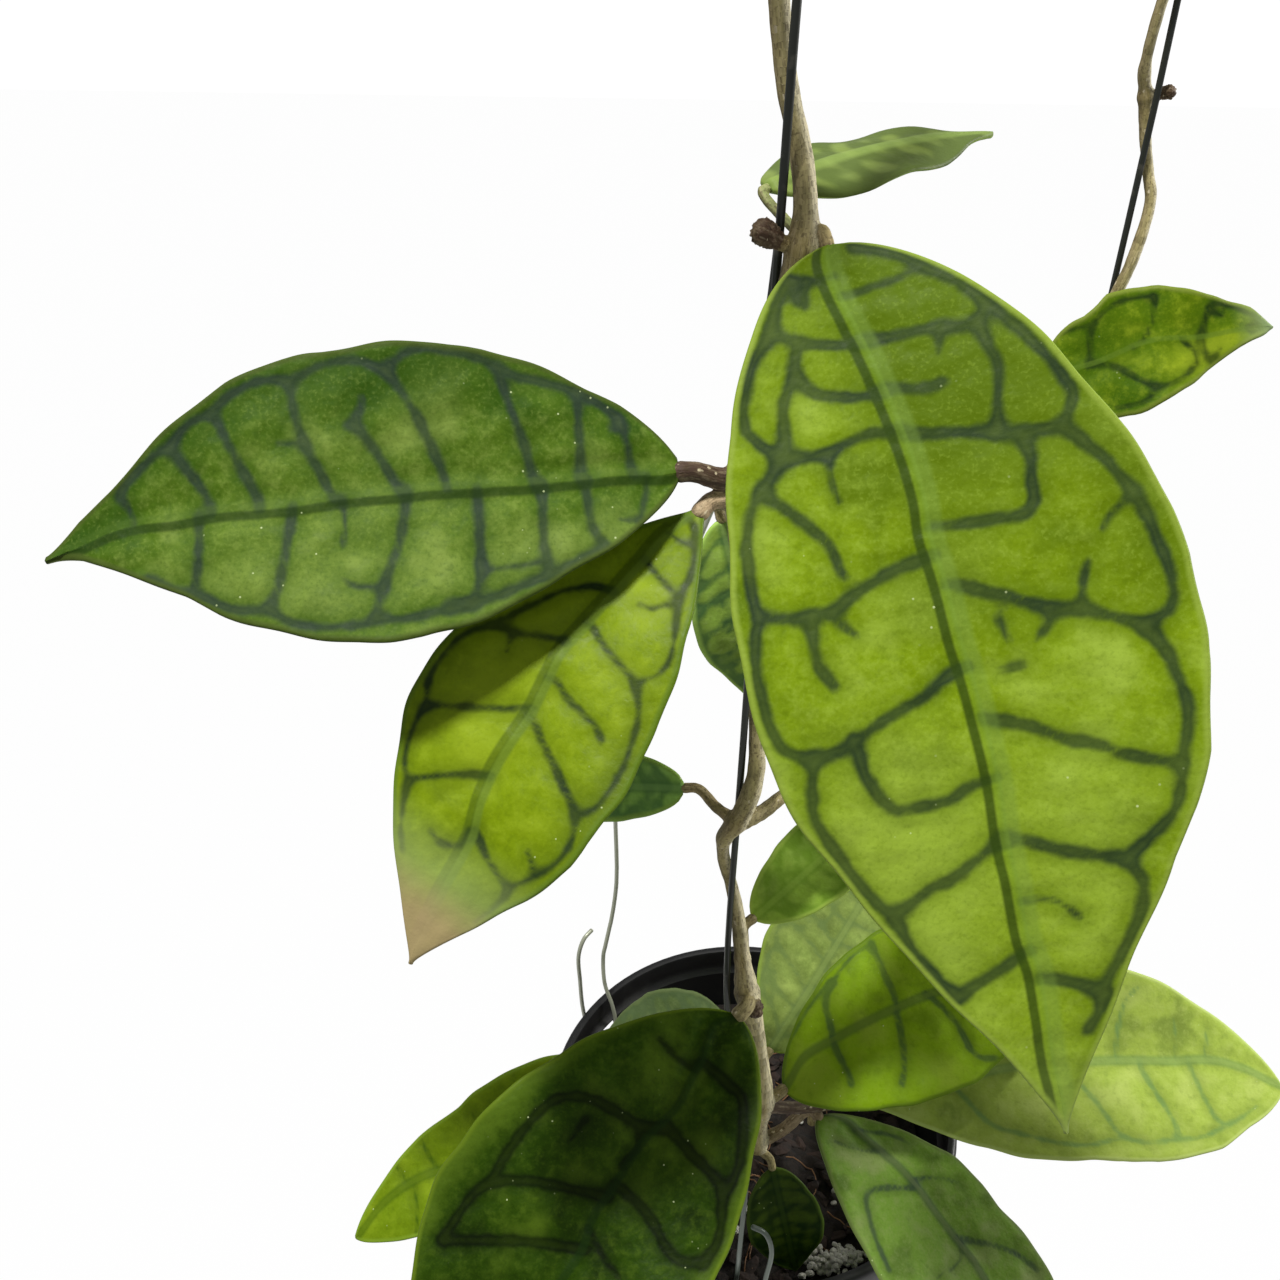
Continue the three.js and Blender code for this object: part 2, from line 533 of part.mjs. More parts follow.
const allLeaves = [...FRONT_LEAVES, ...RIGHT_LEAVES].map((leaf) => ({ ...leafDefaults, ...leaf }));
const fullLeaf = (leaf) => allLeaves.find((other) => other.name === leaf.name);

addPart('pot', potShell(), finish('#17181a', 0.5));
addPart('potting_mix', pottingMix([FRONT_VINE.foot, RIGHT_VINE.foot]), finish('#2e231a', 0.95));
for (const wire of HANGER_WIRES) {
  addPart(wire.name, hangerWire(wire), finish('#2b2e30', 0.4, 0.9));
}
addPart('hanger_ferrule', ferrule(), finish('#2b2e30', 0.4, 0.9));
addPart('hanger_hook', hook(), finish('#2b2e30', 0.4, 0.9));
addPart('vine_front', vineWood(FRONT_VINE, FRONT_LEAVES.map(fullLeaf), FRONT_STUBS), finish('#8b7448', 0.8));
addPart('vine_right', vineWood(RIGHT_VINE, RIGHT_LEAVES.map(fullLeaf), RIGHT_STUBS), finish('#8b7448', 0.8));
for (const leaf of allLeaves) {
  const large = leaf.width > 36;
  addPart(leaf.name, blade(leaf, large ? 12 : 8, large ? 6 : 4), finish('#6d8c12', 0.45));
}

export default group;
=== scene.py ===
import math

import bpy
import numpy as np
from mathutils import Matrix, Vector


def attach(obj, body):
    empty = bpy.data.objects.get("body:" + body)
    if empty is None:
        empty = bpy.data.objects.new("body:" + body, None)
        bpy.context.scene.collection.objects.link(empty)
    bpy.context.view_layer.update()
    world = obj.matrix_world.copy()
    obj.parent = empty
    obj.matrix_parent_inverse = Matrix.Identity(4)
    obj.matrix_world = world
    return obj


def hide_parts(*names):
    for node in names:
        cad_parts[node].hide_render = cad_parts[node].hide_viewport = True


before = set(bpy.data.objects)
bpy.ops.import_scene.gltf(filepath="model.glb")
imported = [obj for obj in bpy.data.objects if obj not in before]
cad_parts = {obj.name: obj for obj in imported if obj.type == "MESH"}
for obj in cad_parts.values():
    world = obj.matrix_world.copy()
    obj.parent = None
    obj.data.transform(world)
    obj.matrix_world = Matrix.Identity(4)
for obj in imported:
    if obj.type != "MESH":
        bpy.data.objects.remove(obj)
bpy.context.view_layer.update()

# Camera: the photographer stood a little left of the pot's middle, above the leaves, and looked
# down at 34 degrees. A 36 mm lens on a 36 mm wide square frame gives the photograph's view.
MM = 0.001
CAMERA_PLACE = (-41.47, -279.62, 488.43)
CAMERA_RIGHT = (0.99990, 0.00812, 0.01200)
CAMERA_UP = (-0.01449, 0.56058, 0.82797)
CAMERA_BACK = (0.0, -0.82806, 0.56064)

lens = bpy.data.cameras.new("photo_camera")
lens.lens = 36
lens.sensor_width = 36
lens.clip_start = 0.01
camera = bpy.data.objects.new("photo_camera", lens)
bpy.context.scene.collection.objects.link(camera)
turn = Matrix((CAMERA_RIGHT, CAMERA_UP, CAMERA_BACK)).transposed().to_4x4()
camera.matrix_world = Matrix.Translation([MM * c for c in CAMERA_PLACE]) @ turn
bpy.context.scene.camera = camera

# Light and floor: the pot hangs well above the pale floor of a white room, whose walls fill the
# shadows. One soft daylight panel is almost overhead, a little to the left and in front. A second
# one, low at the right, lights the right edges of the stems and leaves. Places are in metres.
FLOOR_Z = -0.75
ROOM_LIGHT = 0.33
ROOM_SEEN = 1.05
DAYLIGHT = (1.0, 0.985, 0.95)
PANELS = (
    {"place": (-0.39, -0.27, 1.74), "aim": (-0.03, -0.06, 0.30), "size": 0.14, "watts": 26},
    {"place": (1.12, 0.30, 0.66), "aim": (0, -0.05, 0.34), "size": 0.35, "watts": 11},
)


def add_node(tree, kind, values=None, links=None, **settings):
    """Adds a shader node, sets its own settings and its inputs' values, and links its inputs."""
    made = tree.nodes.new("ShaderNode" + kind)
    for name, value in settings.items():
        setattr(made, name, value)
    for key, value in (values or {}).items():
        made.inputs[key].default_value = value
    for key, socket in (links or {}).items():
        tree.links.new(made.inputs[key], socket)
    return made


def linear(hex_colour):
    """An sRGB hex colour as linear red, green, blue and full alpha."""
    parts = [int(hex_colour[i:i + 2], 16) / 255 for i in (1, 3, 5)]
    return (*[p / 12.92 if p <= 0.04045 else ((p + 0.055) / 1.055) ** 2.4 for p in parts], 1.0)


def new_material(name):
    """An empty node material and its node tree."""
    material = bpy.data.materials.new(name)
    material.use_nodes = True
    material.node_tree.nodes.clear()
    return material, material.node_tree


bpy.context.scene.view_settings.view_transform = "Standard"
world = bpy.data.worlds.new("white_room")
world.use_nodes = True
bpy.context.scene.world = world
world.node_tree.nodes.clear()
sky = add_node(world.node_tree, "Background", {"Color": linear("#ffffff"), "Strength": ROOM_LIGHT})
seen = add_node(world.node_tree, "Background", {"Color": linear("#ffffff"), "Strength": ROOM_SEEN})
ray = add_node(world.node_tree, "LightPath")
room = add_node(world.node_tree, "MixShader", links={
    0: ray.outputs["Is Camera Ray"], 1: sky.outputs[0], 2: seen.outputs[0]})
add_node(world.node_tree, "OutputWorld", links={"Surface": room.outputs[0]})

for number, panel in enumerate(PANELS, 1):
    light = bpy.data.lights.new("daylight_panel_%d" % number, "AREA")
    light.size = panel["size"]
    light.energy = panel["watts"]
    light.color = DAYLIGHT
    lamp = bpy.data.objects.new(light.name, light)
    bpy.context.scene.collection.objects.link(lamp)
    lamp.location = panel["place"]
    away = np.array(panel["place"]) - np.array(panel["aim"])
    lamp.rotation_mode = "QUATERNION"
    lamp.rotation_quaternion = Vector(away).to_track_quat("Z", "Y")

bpy.ops.object.select_all(action="DESELECT")
bpy.ops.mesh.primitive_plane_add(size=12, location=(0, 0, FLOOR_Z))
floor = bpy.context.active_object
floor.name = "floor"
bpy.ops.object.transform_apply(location=True, rotation=True, scale=True)
# White matt floor paint. To the camera it glows a little, so that no horizon shows.
floor_paint, tree = new_material("white_matt_floor")
shader = add_node(tree, "BsdfPrincipled", {"Base Color": linear("#f0f0f0"), "Roughness": 0.9})
bright = add_node(tree, "Emission", {"Color": linear("#ffffff"), "Strength": 1.0})
ray = add_node(tree, "LightPath").outputs["Is Camera Ray"]
share = add_node(tree, "Math", {1: 0.98}, {0: ray}, operation="MULTIPLY").outputs[0]
blend = add_node(tree, "MixShader", links={0: share, 1: shader.outputs[0], 2: bright.outputs[0]})
add_node(tree, "OutputMaterial", links={"Surface": blend.outputs[0]})
floor.data.materials.append(floor_paint)

# Pot: a 14 cm hanging pot, moulded in one piece of black polypropylene with a turned-over rim,
# three holes in the wall for the hanger's clips and six drain holes in the base.
POT_HEIGHT = 108
RIM_RADIUS = 70
RIM_BAND = 9.5
RIM_LIP = 3.5
WALL_RADIUS_TOP = 66
BASE_RADIUS = 46
WALL = 1.8
BASE_THICKNESS = 2.2
# holes for the hanger's clips: offset is how far the hole is moved along the rim
HANGING_HOLE = {"width": 11, "height": 7, "centre_z": 94, "offset": 3, "corner": 1.6, "through": 14}
DRAIN_HOLE = {"radius": 3, "circle": 30, "count": 6, "through": 10}
# where the front, right and rear wires stand, in degrees round the pot
WIRE_FEET = (262, 21, 141.5)


def laid_grid(name, places, values=None):
    """A grid primitive with each point laid at its place (rows, columns, xyz in millimetres), its
    sides joined and its ends shut. values are given to the points as attributes."""
    rows, columns = places.shape[:2]
    bpy.ops.object.select_all(action="DESELECT")
    bpy.ops.mesh.primitive_grid_add(
        x_subdivisions=columns - 1, y_subdivisions=rows - 1, size=2, calc_uvs=False)
    piece = bpy.context.active_object
    piece.name = name
    piece.data.name = name
    flat = np.empty(len(piece.data.vertices) * 3)
    piece.data.vertices.foreach_get("co", flat)
    flat = flat.reshape(-1, 3)
    column = np.rint((flat[:, 0] + 1) / 2 * (columns - 1)).astype(int)
    row = np.rint((flat[:, 1] + 1) / 2 * (rows - 1)).astype(int)
    piece.data.vertices.foreach_set("co", (places[row, column] * MM).ravel())
    for key, value in (values or {}).items():
        made = piece.data.attributes.new(key, "FLOAT", "POINT")
        made.data.foreach_set("value", value[row, column].astype(np.float32))
    bpy.ops.object.mode_set(mode="EDIT")
    bpy.ops.mesh.select_all(action="SELECT")
    bpy.ops.mesh.remove_doubles(threshold=2e-6)
    bpy.ops.mesh.fill_holes(sides=0)
    bpy.ops.mesh.normals_make_consistent(inside=False)
    bpy.ops.object.mode_set(mode="OBJECT")
    bpy.ops.object.shade_smooth()
    return piece


def use_modifier(piece, kind, **settings):
    """Adds a modifier to a piece with its settings, and applies it."""
    bpy.ops.object.select_all(action="DESELECT")
    piece.select_set(True)
    bpy.context.view_layer.objects.active = piece
    made = piece.modifiers.new(kind.lower(), kind)
    for key, value in settings.items():
        setattr(made, key, value)
    bpy.ops.object.modifier_apply(modifier=made.name)


def turned(profile, sides):
    """Rows of places for a profile of (radius, height) turned once round the pot's axis."""
    angle = np.linspace(0, 2 * np.pi, sides + 1)
    profile = np.array(profile, float)
    places = np.empty((len(profile), sides + 1, 3))
    places[..., 0] = profile[:, :1] * np.cos(angle)
    places[..., 1] = profile[:, :1] * np.sin(angle)
    places[..., 2] = profile[:, 1:]
    return places


def lay_tints(tree, colour, tints, blend="LINEAR"):
    """Lays tints over a colour, one after the other. With each tint come one or two patterns, and
    for each pattern two of its values and the share of the tint at the one and at the other."""
    for tint, *patterns in tints:
        share = None
        for pattern, low, high, first, last in patterns:
            part = add_node(tree, "MapRange", {1: low, 2: high, 3: first, 4: last}, {0: pattern},
                            interpolation_type=blend).outputs[0]
            share = part if share is None else add_node(
                tree, "Math", links={0: share, 1: part}, operation="MULTIPLY").outputs[0]
        values, links = {}, {0: share}
        for socket, shade in ((6, colour), (7, tint)):
            (values if isinstance(shade, tuple) else links)[socket] = shade
        colour = add_node(tree, "Mix", values, links, data_type="RGBA").outputs[2]
    return colour


wall_top = POT_HEIGHT - RIM_BAND
inner = WALL_RADIUS_TOP - WALL
lip = RIM_RADIUS - RIM_LIP
slope = (WALL_RADIUS_TOP - BASE_RADIUS - 1.5) / (wall_top - 2.5)
outside = [(BASE_RADIUS + 1.5 + slope * (z - 1.5), z) for z in np.linspace(6, wall_top - 4, 9)]
inside = [(inner - (inner - BASE_RADIUS - 0.2) * t,
           wall_top - 2 - (wall_top - 2 - BASE_THICKNESS - 1.4) * t) for t in np.linspace(0, 1, 8)]
# (radius, height) from the middle of the underside, up the outside, over the rim and down inside
pot_profile = [
    (0.5, 1.2), (38, 1.2), (39.2, 0.9), (40, 0.2), (41, 0), (BASE_RADIUS - 0.8, 0),
    (BASE_RADIUS + 0.3, 0.4), (BASE_RADIUS + 1.2, 1.2), (BASE_RADIUS + 1.8, 2.6), *outside,
    (WALL_RADIUS_TOP - 0.2, wall_top - 2.6), (WALL_RADIUS_TOP + 0.6, wall_top - 1.2),
    (WALL_RADIUS_TOP + 2.2, wall_top - 0.5), (RIM_RADIUS - 0.7, wall_top - 0.3),
    (RIM_RADIUS - 0.2, wall_top + 0.1), (RIM_RADIUS, wall_top + 0.8), (RIM_RADIUS, POT_HEIGHT - 2.4),
    (RIM_RADIUS - 0.15, POT_HEIGHT - 1.2), (RIM_RADIUS - 0.6, POT_HEIGHT - 0.4),
    (RIM_RADIUS - 1.4, POT_HEIGHT), (lip + 1.2, POT_HEIGHT), (lip + 0.4, POT_HEIGHT - 0.3),
    (lip, POT_HEIGHT - 1.1), (lip - 0.2, wall_top + 3), (lip - 0.6, wall_top + 1.2),
    (inner + 0.2, wall_top - 0.4), *inside, (BASE_RADIUS - 1.2, BASE_THICKNESS + 0.3),
    (BASE_RADIUS - 3, BASE_THICKNESS), (0.5, BASE_THICKNESS),
]
pot = laid_grid("pot_moulding", turned(pot_profile, 96))

cutters = []
for foot in WIRE_FEET:
    bpy.ops.object.select_all(action="DESELECT")
    bpy.ops.mesh.primitive_cube_add(size=1, location=(
        (WALL_RADIUS_TOP - 1) * MM, HANGING_HOLE["offset"] * MM, HANGING_HOLE["centre_z"] * MM))
    cutter = bpy.context.active_object
    cutter.scale = [MM * HANGING_HOLE[key] for key in ("through", "width", "height")]
    bpy.ops.object.transform_apply(location=True, rotation=True, scale=True)
    use_modifier(cutter, "BEVEL", width=HANGING_HOLE["corner"] * MM, segments=3)
    cutter.data.transform(Matrix.Rotation(math.radians(foot), 4, "Z"))
    cutters.append(cutter)
circle = DRAIN_HOLE["circle"] * MM
for i in range(DRAIN_HOLE["count"]):
    angle = 2 * math.pi * i / DRAIN_HOLE["count"]
    bpy.ops.object.select_all(action="DESELECT")
    bpy.ops.mesh.primitive_cylinder_add(
        vertices=24, radius=DRAIN_HOLE["radius"] * MM, depth=DRAIN_HOLE["through"] * MM,
        location=(circle * math.cos(angle), circle * math.sin(angle), 0))
    cutters.append(bpy.context.active_object)
    bpy.ops.object.transform_apply(location=True, rotation=True, scale=True)
bpy.ops.object.select_all(action="DESELECT")
for cutter in cutters:
    cutter.select_set(True)
bpy.context.view_layer.objects.active = cutters[0]
bpy.ops.object.join()
cutter = bpy.context.active_object
use_modifier(pot, "BOOLEAN", operation="DIFFERENCE", solver="EXACT", object=cutter)
bpy.data.objects.remove(cutter)
bpy.ops.object.shade_smooth_by_angle(angle=math.radians(35))

# Black polypropylene, injection moulded: a soft, broad grey sheen over a matt grain of 0.6 mm,
# drawn coarser than the real one so that it shows, with dusty patches of 22 mm from watering.
pot_plastic, tree = new_material("black_polypropylene")
place = add_node(tree, "TexCoord").outputs["Object"]
dust = add_node(tree, "TexNoise", {"Scale": 45, "Detail": 6, "Roughness": 0.65}, {"Vector": place})
colour = lay_tints(tree, linear("#0b0c0d"), [
    (linear("#3a3a36"), (dust.outputs[0], 0.5, 0.8, 0.0, 0.35))])
rough = add_node(tree, "MapRange", {1: 0.3, 2: 0.8, 3: 0.38, 4: 0.62}, {0: dust.outputs[0]})
grain = add_node(tree, "TexNoise", {"Scale": 1600, "Detail": 2}, {"Vector": place})
bump = add_node(tree, "Bump", {"Strength": 0.12, "Distance": 0.0003}, {"Height": grain.outputs[0]})
shader = add_node(tree, "BsdfPrincipled", {"IOR": 1.49}, {
    "Base Color": colour, "Roughness": rough.outputs[0], "Normal": bump.outputs[0]})
add_node(tree, "OutputMaterial", links={"Surface": shader.outputs[0]})
pot.data.materials.append(pot_plastic)
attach(pot, "root")
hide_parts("pot")

# Potting mix: a loose hoya mix of fir bark, coir and perlite that fills the pot to a low crown.
# Its rough top is one sheet, with loose bark chips, grains and fibres lying on it.
MIX_UNDERSIDE_Z = 2.6
MIX_EDGE_Z = 84
MIX_CROWN = 3
MIX_SETTLED = 0.6
MIX_CLEARANCE = 0.35
# x and y of each stem's foot and the radius of the bare hollow round it
STEM_FEET = ((0.5, -2, 3.6), (24, 8, 3.0))
STEM_HOLLOW = 3.5
BARK_CHIPS = 210
PERLITE_GRAINS = 210
# most of the perlite has washed into one small heap at the front
PERLITE_HEAP = {"x": 27, "y": -46, "grains": 175, "height": 3.6}
COIR_FIBRES = 70
FIBRE_RADIUS = 0.22
FIBRE_STEPS = 8

chance = np.random.default_rng(11)
edge = BASE_RADIUS + (inner - BASE_RADIUS) / (wall_top - BASE_THICKNESS) * (
    MIX_EDGE_Z - BASE_THICKNESS) - 2 * MIX_CLEARANCE
mix_profile = [(0.5, MIX_UNDERSIDE_Z), (20, MIX_UNDERSIDE_Z), (BASE_RADIUS - 2, MIX_UNDERSIDE_Z),
               (BASE_RADIUS - 1, 4)]
mix_profile += [(BASE_RADIUS - 1 + (edge - BASE_RADIUS + 1) * t, 4 + (MIX_EDGE_Z - 4) * t)
                for t in (0.25, 0.5, 0.75, 0.97, 1.0)]
side_rows = len(mix_profile)
mix_profile += [(edge * k, MIX_EDGE_Z + MIX_CROWN * (1 - k * k)) for k in np.linspace(0.98, 0.01, 46)]
places = turned(mix_profile, 150)
waves = [(chance.normal(0, 1, 2) * f, chance.uniform(0, 6.28), a)
         for f, a in ((0.12, 0.35), (0.2, 0.3), (0.35, 0.3), (0.5, 0.28), (0.8, 0.25), (1.1, 0.22),
                      (1.6, 0.2))
         for _ in range(3)]
lift = sum(a * np.sin(places[..., 0] * f[0] + places[..., 1] * f[1] + p) for f, p, a in waves)
on_top = np.zeros(places.shape[:2])
on_top[side_rows:] = np.minimum(1, np.arange(len(mix_profile) - side_rows) / 4)[:, None]
places[..., 2] += (lift - MIX_SETTLED) * on_top
for x, y, bore in STEM_FEET:
    away = np.hypot(places[..., 0] - x, places[..., 1] - y)
    places[..., 2] -= on_top * STEM_HOLLOW * np.exp(-(away / bore) ** 4)
mix = laid_grid("potting_mix_bed", places)


def mix_height(x, y):
    """The height of the mix's top at a place."""
    bumps = sum(a * math.sin(x * f[0] + y * f[1] + p) for f, p, a in waves)
    return MIX_EDGE_Z + MIX_CROWN * (1 - (math.hypot(x, y) / edge) ** 2) + bumps - MIX_SETTLED


def free_place(spread, gap):
    """A random place on the mix, within spread of the middle and clear of each stem by gap."""
    while True:
        angle, far = chance.uniform(0, 2 * math.pi), spread * math.sqrt(chance.uniform(0, 1))
        x, y = far * math.cos(angle), far * math.sin(angle)
        if all(math.hypot(x - a, y - b) > c + gap for a, b, c in STEM_FEET):
            return x, y


def lump(size, place, divisions, roughness):
    """A grain or chip: an icosphere made uneven, squared off, stretched to size and turned."""
    bpy.ops.object.select_all(action="DESELECT")
    bpy.ops.mesh.primitive_ico_sphere_add(subdivisions=divisions, radius=1)
    grain = bpy.context.active_object
    points = np.array([v.co for v in grain.data.vertices])
    points *= 1 + chance.normal(0, roughness, (len(points), 1))
    points = np.sign(points) * np.abs(points) ** 0.75
    spin = Matrix.Rotation(chance.uniform(0, 6.28), 3, "Z") @ Matrix.Rotation(
        chance.normal(0, 0.35), 3, "X") @ Matrix.Rotation(chance.normal(0, 0.35), 3, "Y")
    points = (points * np.array(size) / 2) @ np.array(spin).T + np.array(place)
    grain.data.vertices.foreach_set("co", (points * MM).ravel())
    return grain


def join_pieces(pieces, name):
    """Joins pieces into one, in the order given."""
    bpy.ops.object.select_all(action="DESELECT")
    for piece in pieces:
        piece.select_set(True)
    bpy.context.view_layer.objects.active = pieces[0]
    bpy.ops.object.join()
    joined = bpy.context.active_object
    joined.name = name
    joined.data.name = name
    return joined


chips = []
for _ in range(BARK_CHIPS):
    length = chance.uniform(3.5, 10)
    x, y = free_place(edge - 6, 1 + length / 2)
    chips.append(lump((length, length * chance.uniform(0.4, 0.8), chance.uniform(1.2, 2.6)),
                      (x, y, mix_height(x, y) + 0.5), 1, 0.14))
bark_chips = join_pieces(chips, "bark_chips")

grains = []
for i in range(PERLITE_GRAINS):
    size = chance.uniform(1.4, 3.6)
    x, y = free_place(edge - 4, 1 + size / 2)
    heap = 0.0
    if i < PERLITE_HEAP["grains"]:
        size *= 0.75
        x, y = PERLITE_HEAP["x"] + chance.normal(0, 6), PERLITE_HEAP["y"] + chance.normal(0, 2.6)
        heap = PERLITE_HEAP["height"] * math.exp(
            -((x - PERLITE_HEAP["x"]) / 6) ** 2 - ((y - PERLITE_HEAP["y"]) / 3.5) ** 2)
    if math.hypot(x, y) < edge - 3:
        grains.append(lump((size, size * chance.uniform(0.7, 1), size * chance.uniform(0.6, 0.9)),
                           (x, y, mix_height(x, y) + 0.7 + heap), 2, 0.08))
perlite = join_pieces(grains, "perlite_grains")
bpy.ops.object.shade_smooth()


def frames_along(points):
    """Two directions across a path at each of its points, that turn as little as can be."""
    ahead = np.vstack([points[1:], points[-1:]]) - np.vstack([points[:1], points[:-1]])
    tangents = ahead / np.linalg.norm(ahead, axis=1, keepdims=True)
    start = np.array([1.0, 0, 0]) if abs(tangents[0][2]) > 0.8 else np.array([0, 0, 1.0])
    normals = []
    for tangent in tangents:
        start = start - tangent * (start @ tangent)
        start = start / np.linalg.norm(start)
        normals.append(start)
    return np.array(normals), np.cross(tangents, normals)


def round_path(name, points, radii, sides):
    """A round body along a path, with a ring of its own radius at each point and rounded ends."""
    points = np.array(points, float)
    radii = np.array(radii, float)
    for end, inner in ((0, 1), (-1, -2)):
        step = points[end] - points[inner]
        step = step / np.linalg.norm(step)
        dome = [(points[end] + step * radii[end] * h, radii[end] * w)
                for h, w in ((0.3, 0.86), (0.5, 0.55), (0.58, 0.12))]
        if end == 0:
            points = np.vstack([[p for p, _ in reversed(dome)], points])
            radii = np.concatenate([[r for _, r in reversed(dome)], radii])
        else:
            points = np.vstack([points, [p for p, _ in dome]])
            radii = np.concatenate([radii, [r for _, r in dome]])
    normals, sideways = frames_along(points)
    angle = np.linspace(0, 2 * np.pi, sides + 1)
    cosine, sine = np.cos(angle)[None, :, None], np.sin(angle)[None, :, None]
    places = points[:, None] + radii[:, None, None] * (
        cosine * normals[:, None] + sine * sideways[:, None])
    return laid_grid(name, places)


fibres = []
for _ in range(COIR_FIBRES):
    length, heading = chance.uniform(8, 22), chance.uniform(0, 2 * math.pi)
    x, y = free_place(edge - 14, 3)
    bend = chance.normal(0, 0.05)
    step = length / FIBRE_STEPS
    line = []
    for k in range(FIBRE_STEPS + 1):
        line.append((x, y, mix_height(x, y) + 0.9 + 1.2 * math.sin(k * 0.39) * chance.uniform(0.6, 1)))
        heading += bend * length / FIBRE_STEPS
        x, y = x + step * math.cos(heading), y + step * math.sin(heading)
        at_stem = any(math.hypot(x - a, y - b) < c + 0.6 for a, b, c in STEM_FEET)
        if math.hypot(x, y) > edge - 1.5 or at_stem:
            break
    if len(line) > 3:
        fibres.append(round_path("fibre", line, [FIBRE_RADIUS] * len(line), 5))
coir = join_pieces(fibres, "coir_fibres")

# Composted bark and peat: its own dark brown, darkened further to nearly black as painted shade
# down in the pot under the leaves; wholly matt, in crumbs of 2.4 mm.
bed_soil, tree = new_material("composted_bark_painted_shade")
place = add_node(tree, "TexCoord").outputs["Object"]
crumb = add_node(tree, "TexNoise", {"Scale": 420, "Detail": 8, "Roughness": 0.7}, {"Vector": place})
colour = add_node(tree, "ValToRGB", links={0: crumb.outputs[0]})
colour.color_ramp.elements[0].position, colour.color_ramp.elements[0].color = 0.35, linear("#080604")
colour.color_ramp.elements[1].position, colour.color_ramp.elements[1].color = 0.72, linear("#241a12")
bump = add_node(tree, "Bump", {"Strength": 0.8, "Distance": 0.0012}, {"Height": crumb.outputs[0]})
shader = add_node(tree, "BsdfPrincipled", {"Roughness": 0.95}, {
    "Base Color": colour.outputs[0], "Normal": bump.outputs[0]})
add_node(tree, "OutputMaterial", links={"Surface": shader.outputs[0]})
mix.data.materials.append(bed_soil)

# Fir bark: dull and dark red-brown, darkened further as painted shade down in the pot, in patches
# of 6 mm, its surface rough at 1 mm.
chip_bark, tree = new_material("fir_bark_chips")
place = add_node(tree, "TexCoord").outputs["Object"]
patch = add_node(tree, "TexNoise", {"Scale": 160, "Detail": 5}, {"Vector": place})
colour = add_node(tree, "ValToRGB", links={0: patch.outputs[0]})
colour.color_ramp.elements[0].position, colour.color_ramp.elements[0].color = 0.3, linear("#0e0906")
colour.color_ramp.elements[1].position, colour.color_ramp.elements[1].color = 0.75, linear("#34231a")
fine = add_node(tree, "TexNoise", {"Scale": 900, "Detail": 4}, {"Vector": place})
bump = add_node(tree, "Bump", {"Strength": 0.7, "Distance": 0.0006}, {"Height": fine.outputs[0]})
shader = add_node(tree, "BsdfPrincipled", {"Roughness": 0.88}, {
    "Base Color": colour.outputs[0], "Normal": bump.outputs[0]})
add_node(tree, "OutputMaterial", links={"Surface": shader.outputs[0]})
bark_chips.data.materials.append(chip_bark)

# Expanded perlite: matt, chalky white to grey, full of pin holes. The pin holes are drawn 0.7 mm
# apart, coarser than the real ones, so that they show.
perlite_white, tree = new_material("expanded_perlite")
place = add_node(tree, "TexCoord").outputs["Object"]
pores = add_node(tree, "TexVoronoi", {"Scale": 1500}, {"Vector": place})
tone = add_node(tree, "TexNoise", {"Scale": 130, "Detail": 3}, {"Vector": place})
colour = add_node(tree, "Mix", {6: linear("#8d8a80"), 7: linear("#d9d7cf")},
                  {0: tone.outputs[0]}, data_type="RGBA")
bump = add_node(tree, "Bump", {"Strength": 0.6, "Distance": 0.0004}, {"Height": pores.outputs[0]})
shader = add_node(tree, "BsdfPrincipled", {"Roughness": 0.9}, {
    "Base Color": colour.outputs[2], "Normal": bump.outputs[0]})
add_node(tree, "OutputMaterial", links={"Surface": shader.outputs[0]})
perlite.data.materials.append(perlite_white)

# Coir: coarse coconut fibre, ginger-brown with darker lengths of 11 mm, a little glossy.
coir_fibre, tree = new_material("coconut_coir")
place = add_node(tree, "TexCoord").outputs["Object"]
tone = add_node(tree, "TexNoise", {"Scale": 90, "Detail": 3}, {"Vector": place})
colour = add_node(tree, "Mix", {6: linear("#3a2415"), 7: linear("#8a6238")},
                  {0: tone.outputs[0]}, data_type="RGBA")
shader = add_node(tree, "BsdfPrincipled", {"Roughness": 0.6}, {"Base Color": colour.outputs[2]})
add_node(tree, "OutputMaterial", links={"Surface": shader.outputs[0]})
coir.data.materials.append(coir_fibre)
for piece in (mix, bark_chips, perlite, coir):
    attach(piece, "root")
    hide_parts("potting_mix")

# Hanger wires: three lengths of 1.5 mm steel wire with a black lacquer. Each is bent through its
# hole in the pot's wall and back up as a clip, stands beside the pot and leans in to the ferrule.
WIRE_RADIUS = 0.75
WIRE_CIRCLE = 70
SHOULDER_Z = 470
CLIP_TOP_Z = 125
FERRULE = {"bottom": 572, "top": 590, "radius": 6, "wire_circle": 3.4}
LACQUER_SIDES = 12
# foot and upper: degrees round the pot below and above the bend, between two heights;
# pale_reflection: the pale grey of a painted reflection of the white room, below the height
# pale_below; bowed: places of a wire that the vine has pulled in
HANGER_WIRES = (
    {"name": "hanger_wire_front", "foot": WIRE_FEET[0], "upper": 254, "bend": (165, 250),
     "pale_below": 150, "pale_reflection": "#6f7a70"},
    {"name": "hanger_wire_right", "foot": WIRE_FEET[1], "upper": 14, "bend": (130, 200),
     "pale_below": 130, "pale_reflection": "#7d857a"},
    {"name": "hanger_wire_rear", "foot": WIRE_FEET[2], "upper": 134, "bend": (112, 160),
     "pale_below": 330, "pale_reflection": "#a9ad9a",
     "bowed": ((-48.6, 50.4, 215), (-41.3, 45.7, 250), (-27.4, 39, 300), (-14, 32.2, 350),
               (-10.1, 25.5, 400), (-10.8, 20.1, 440), (-9.5, 12.5, 490), (-5.5, 6, 540))},
)
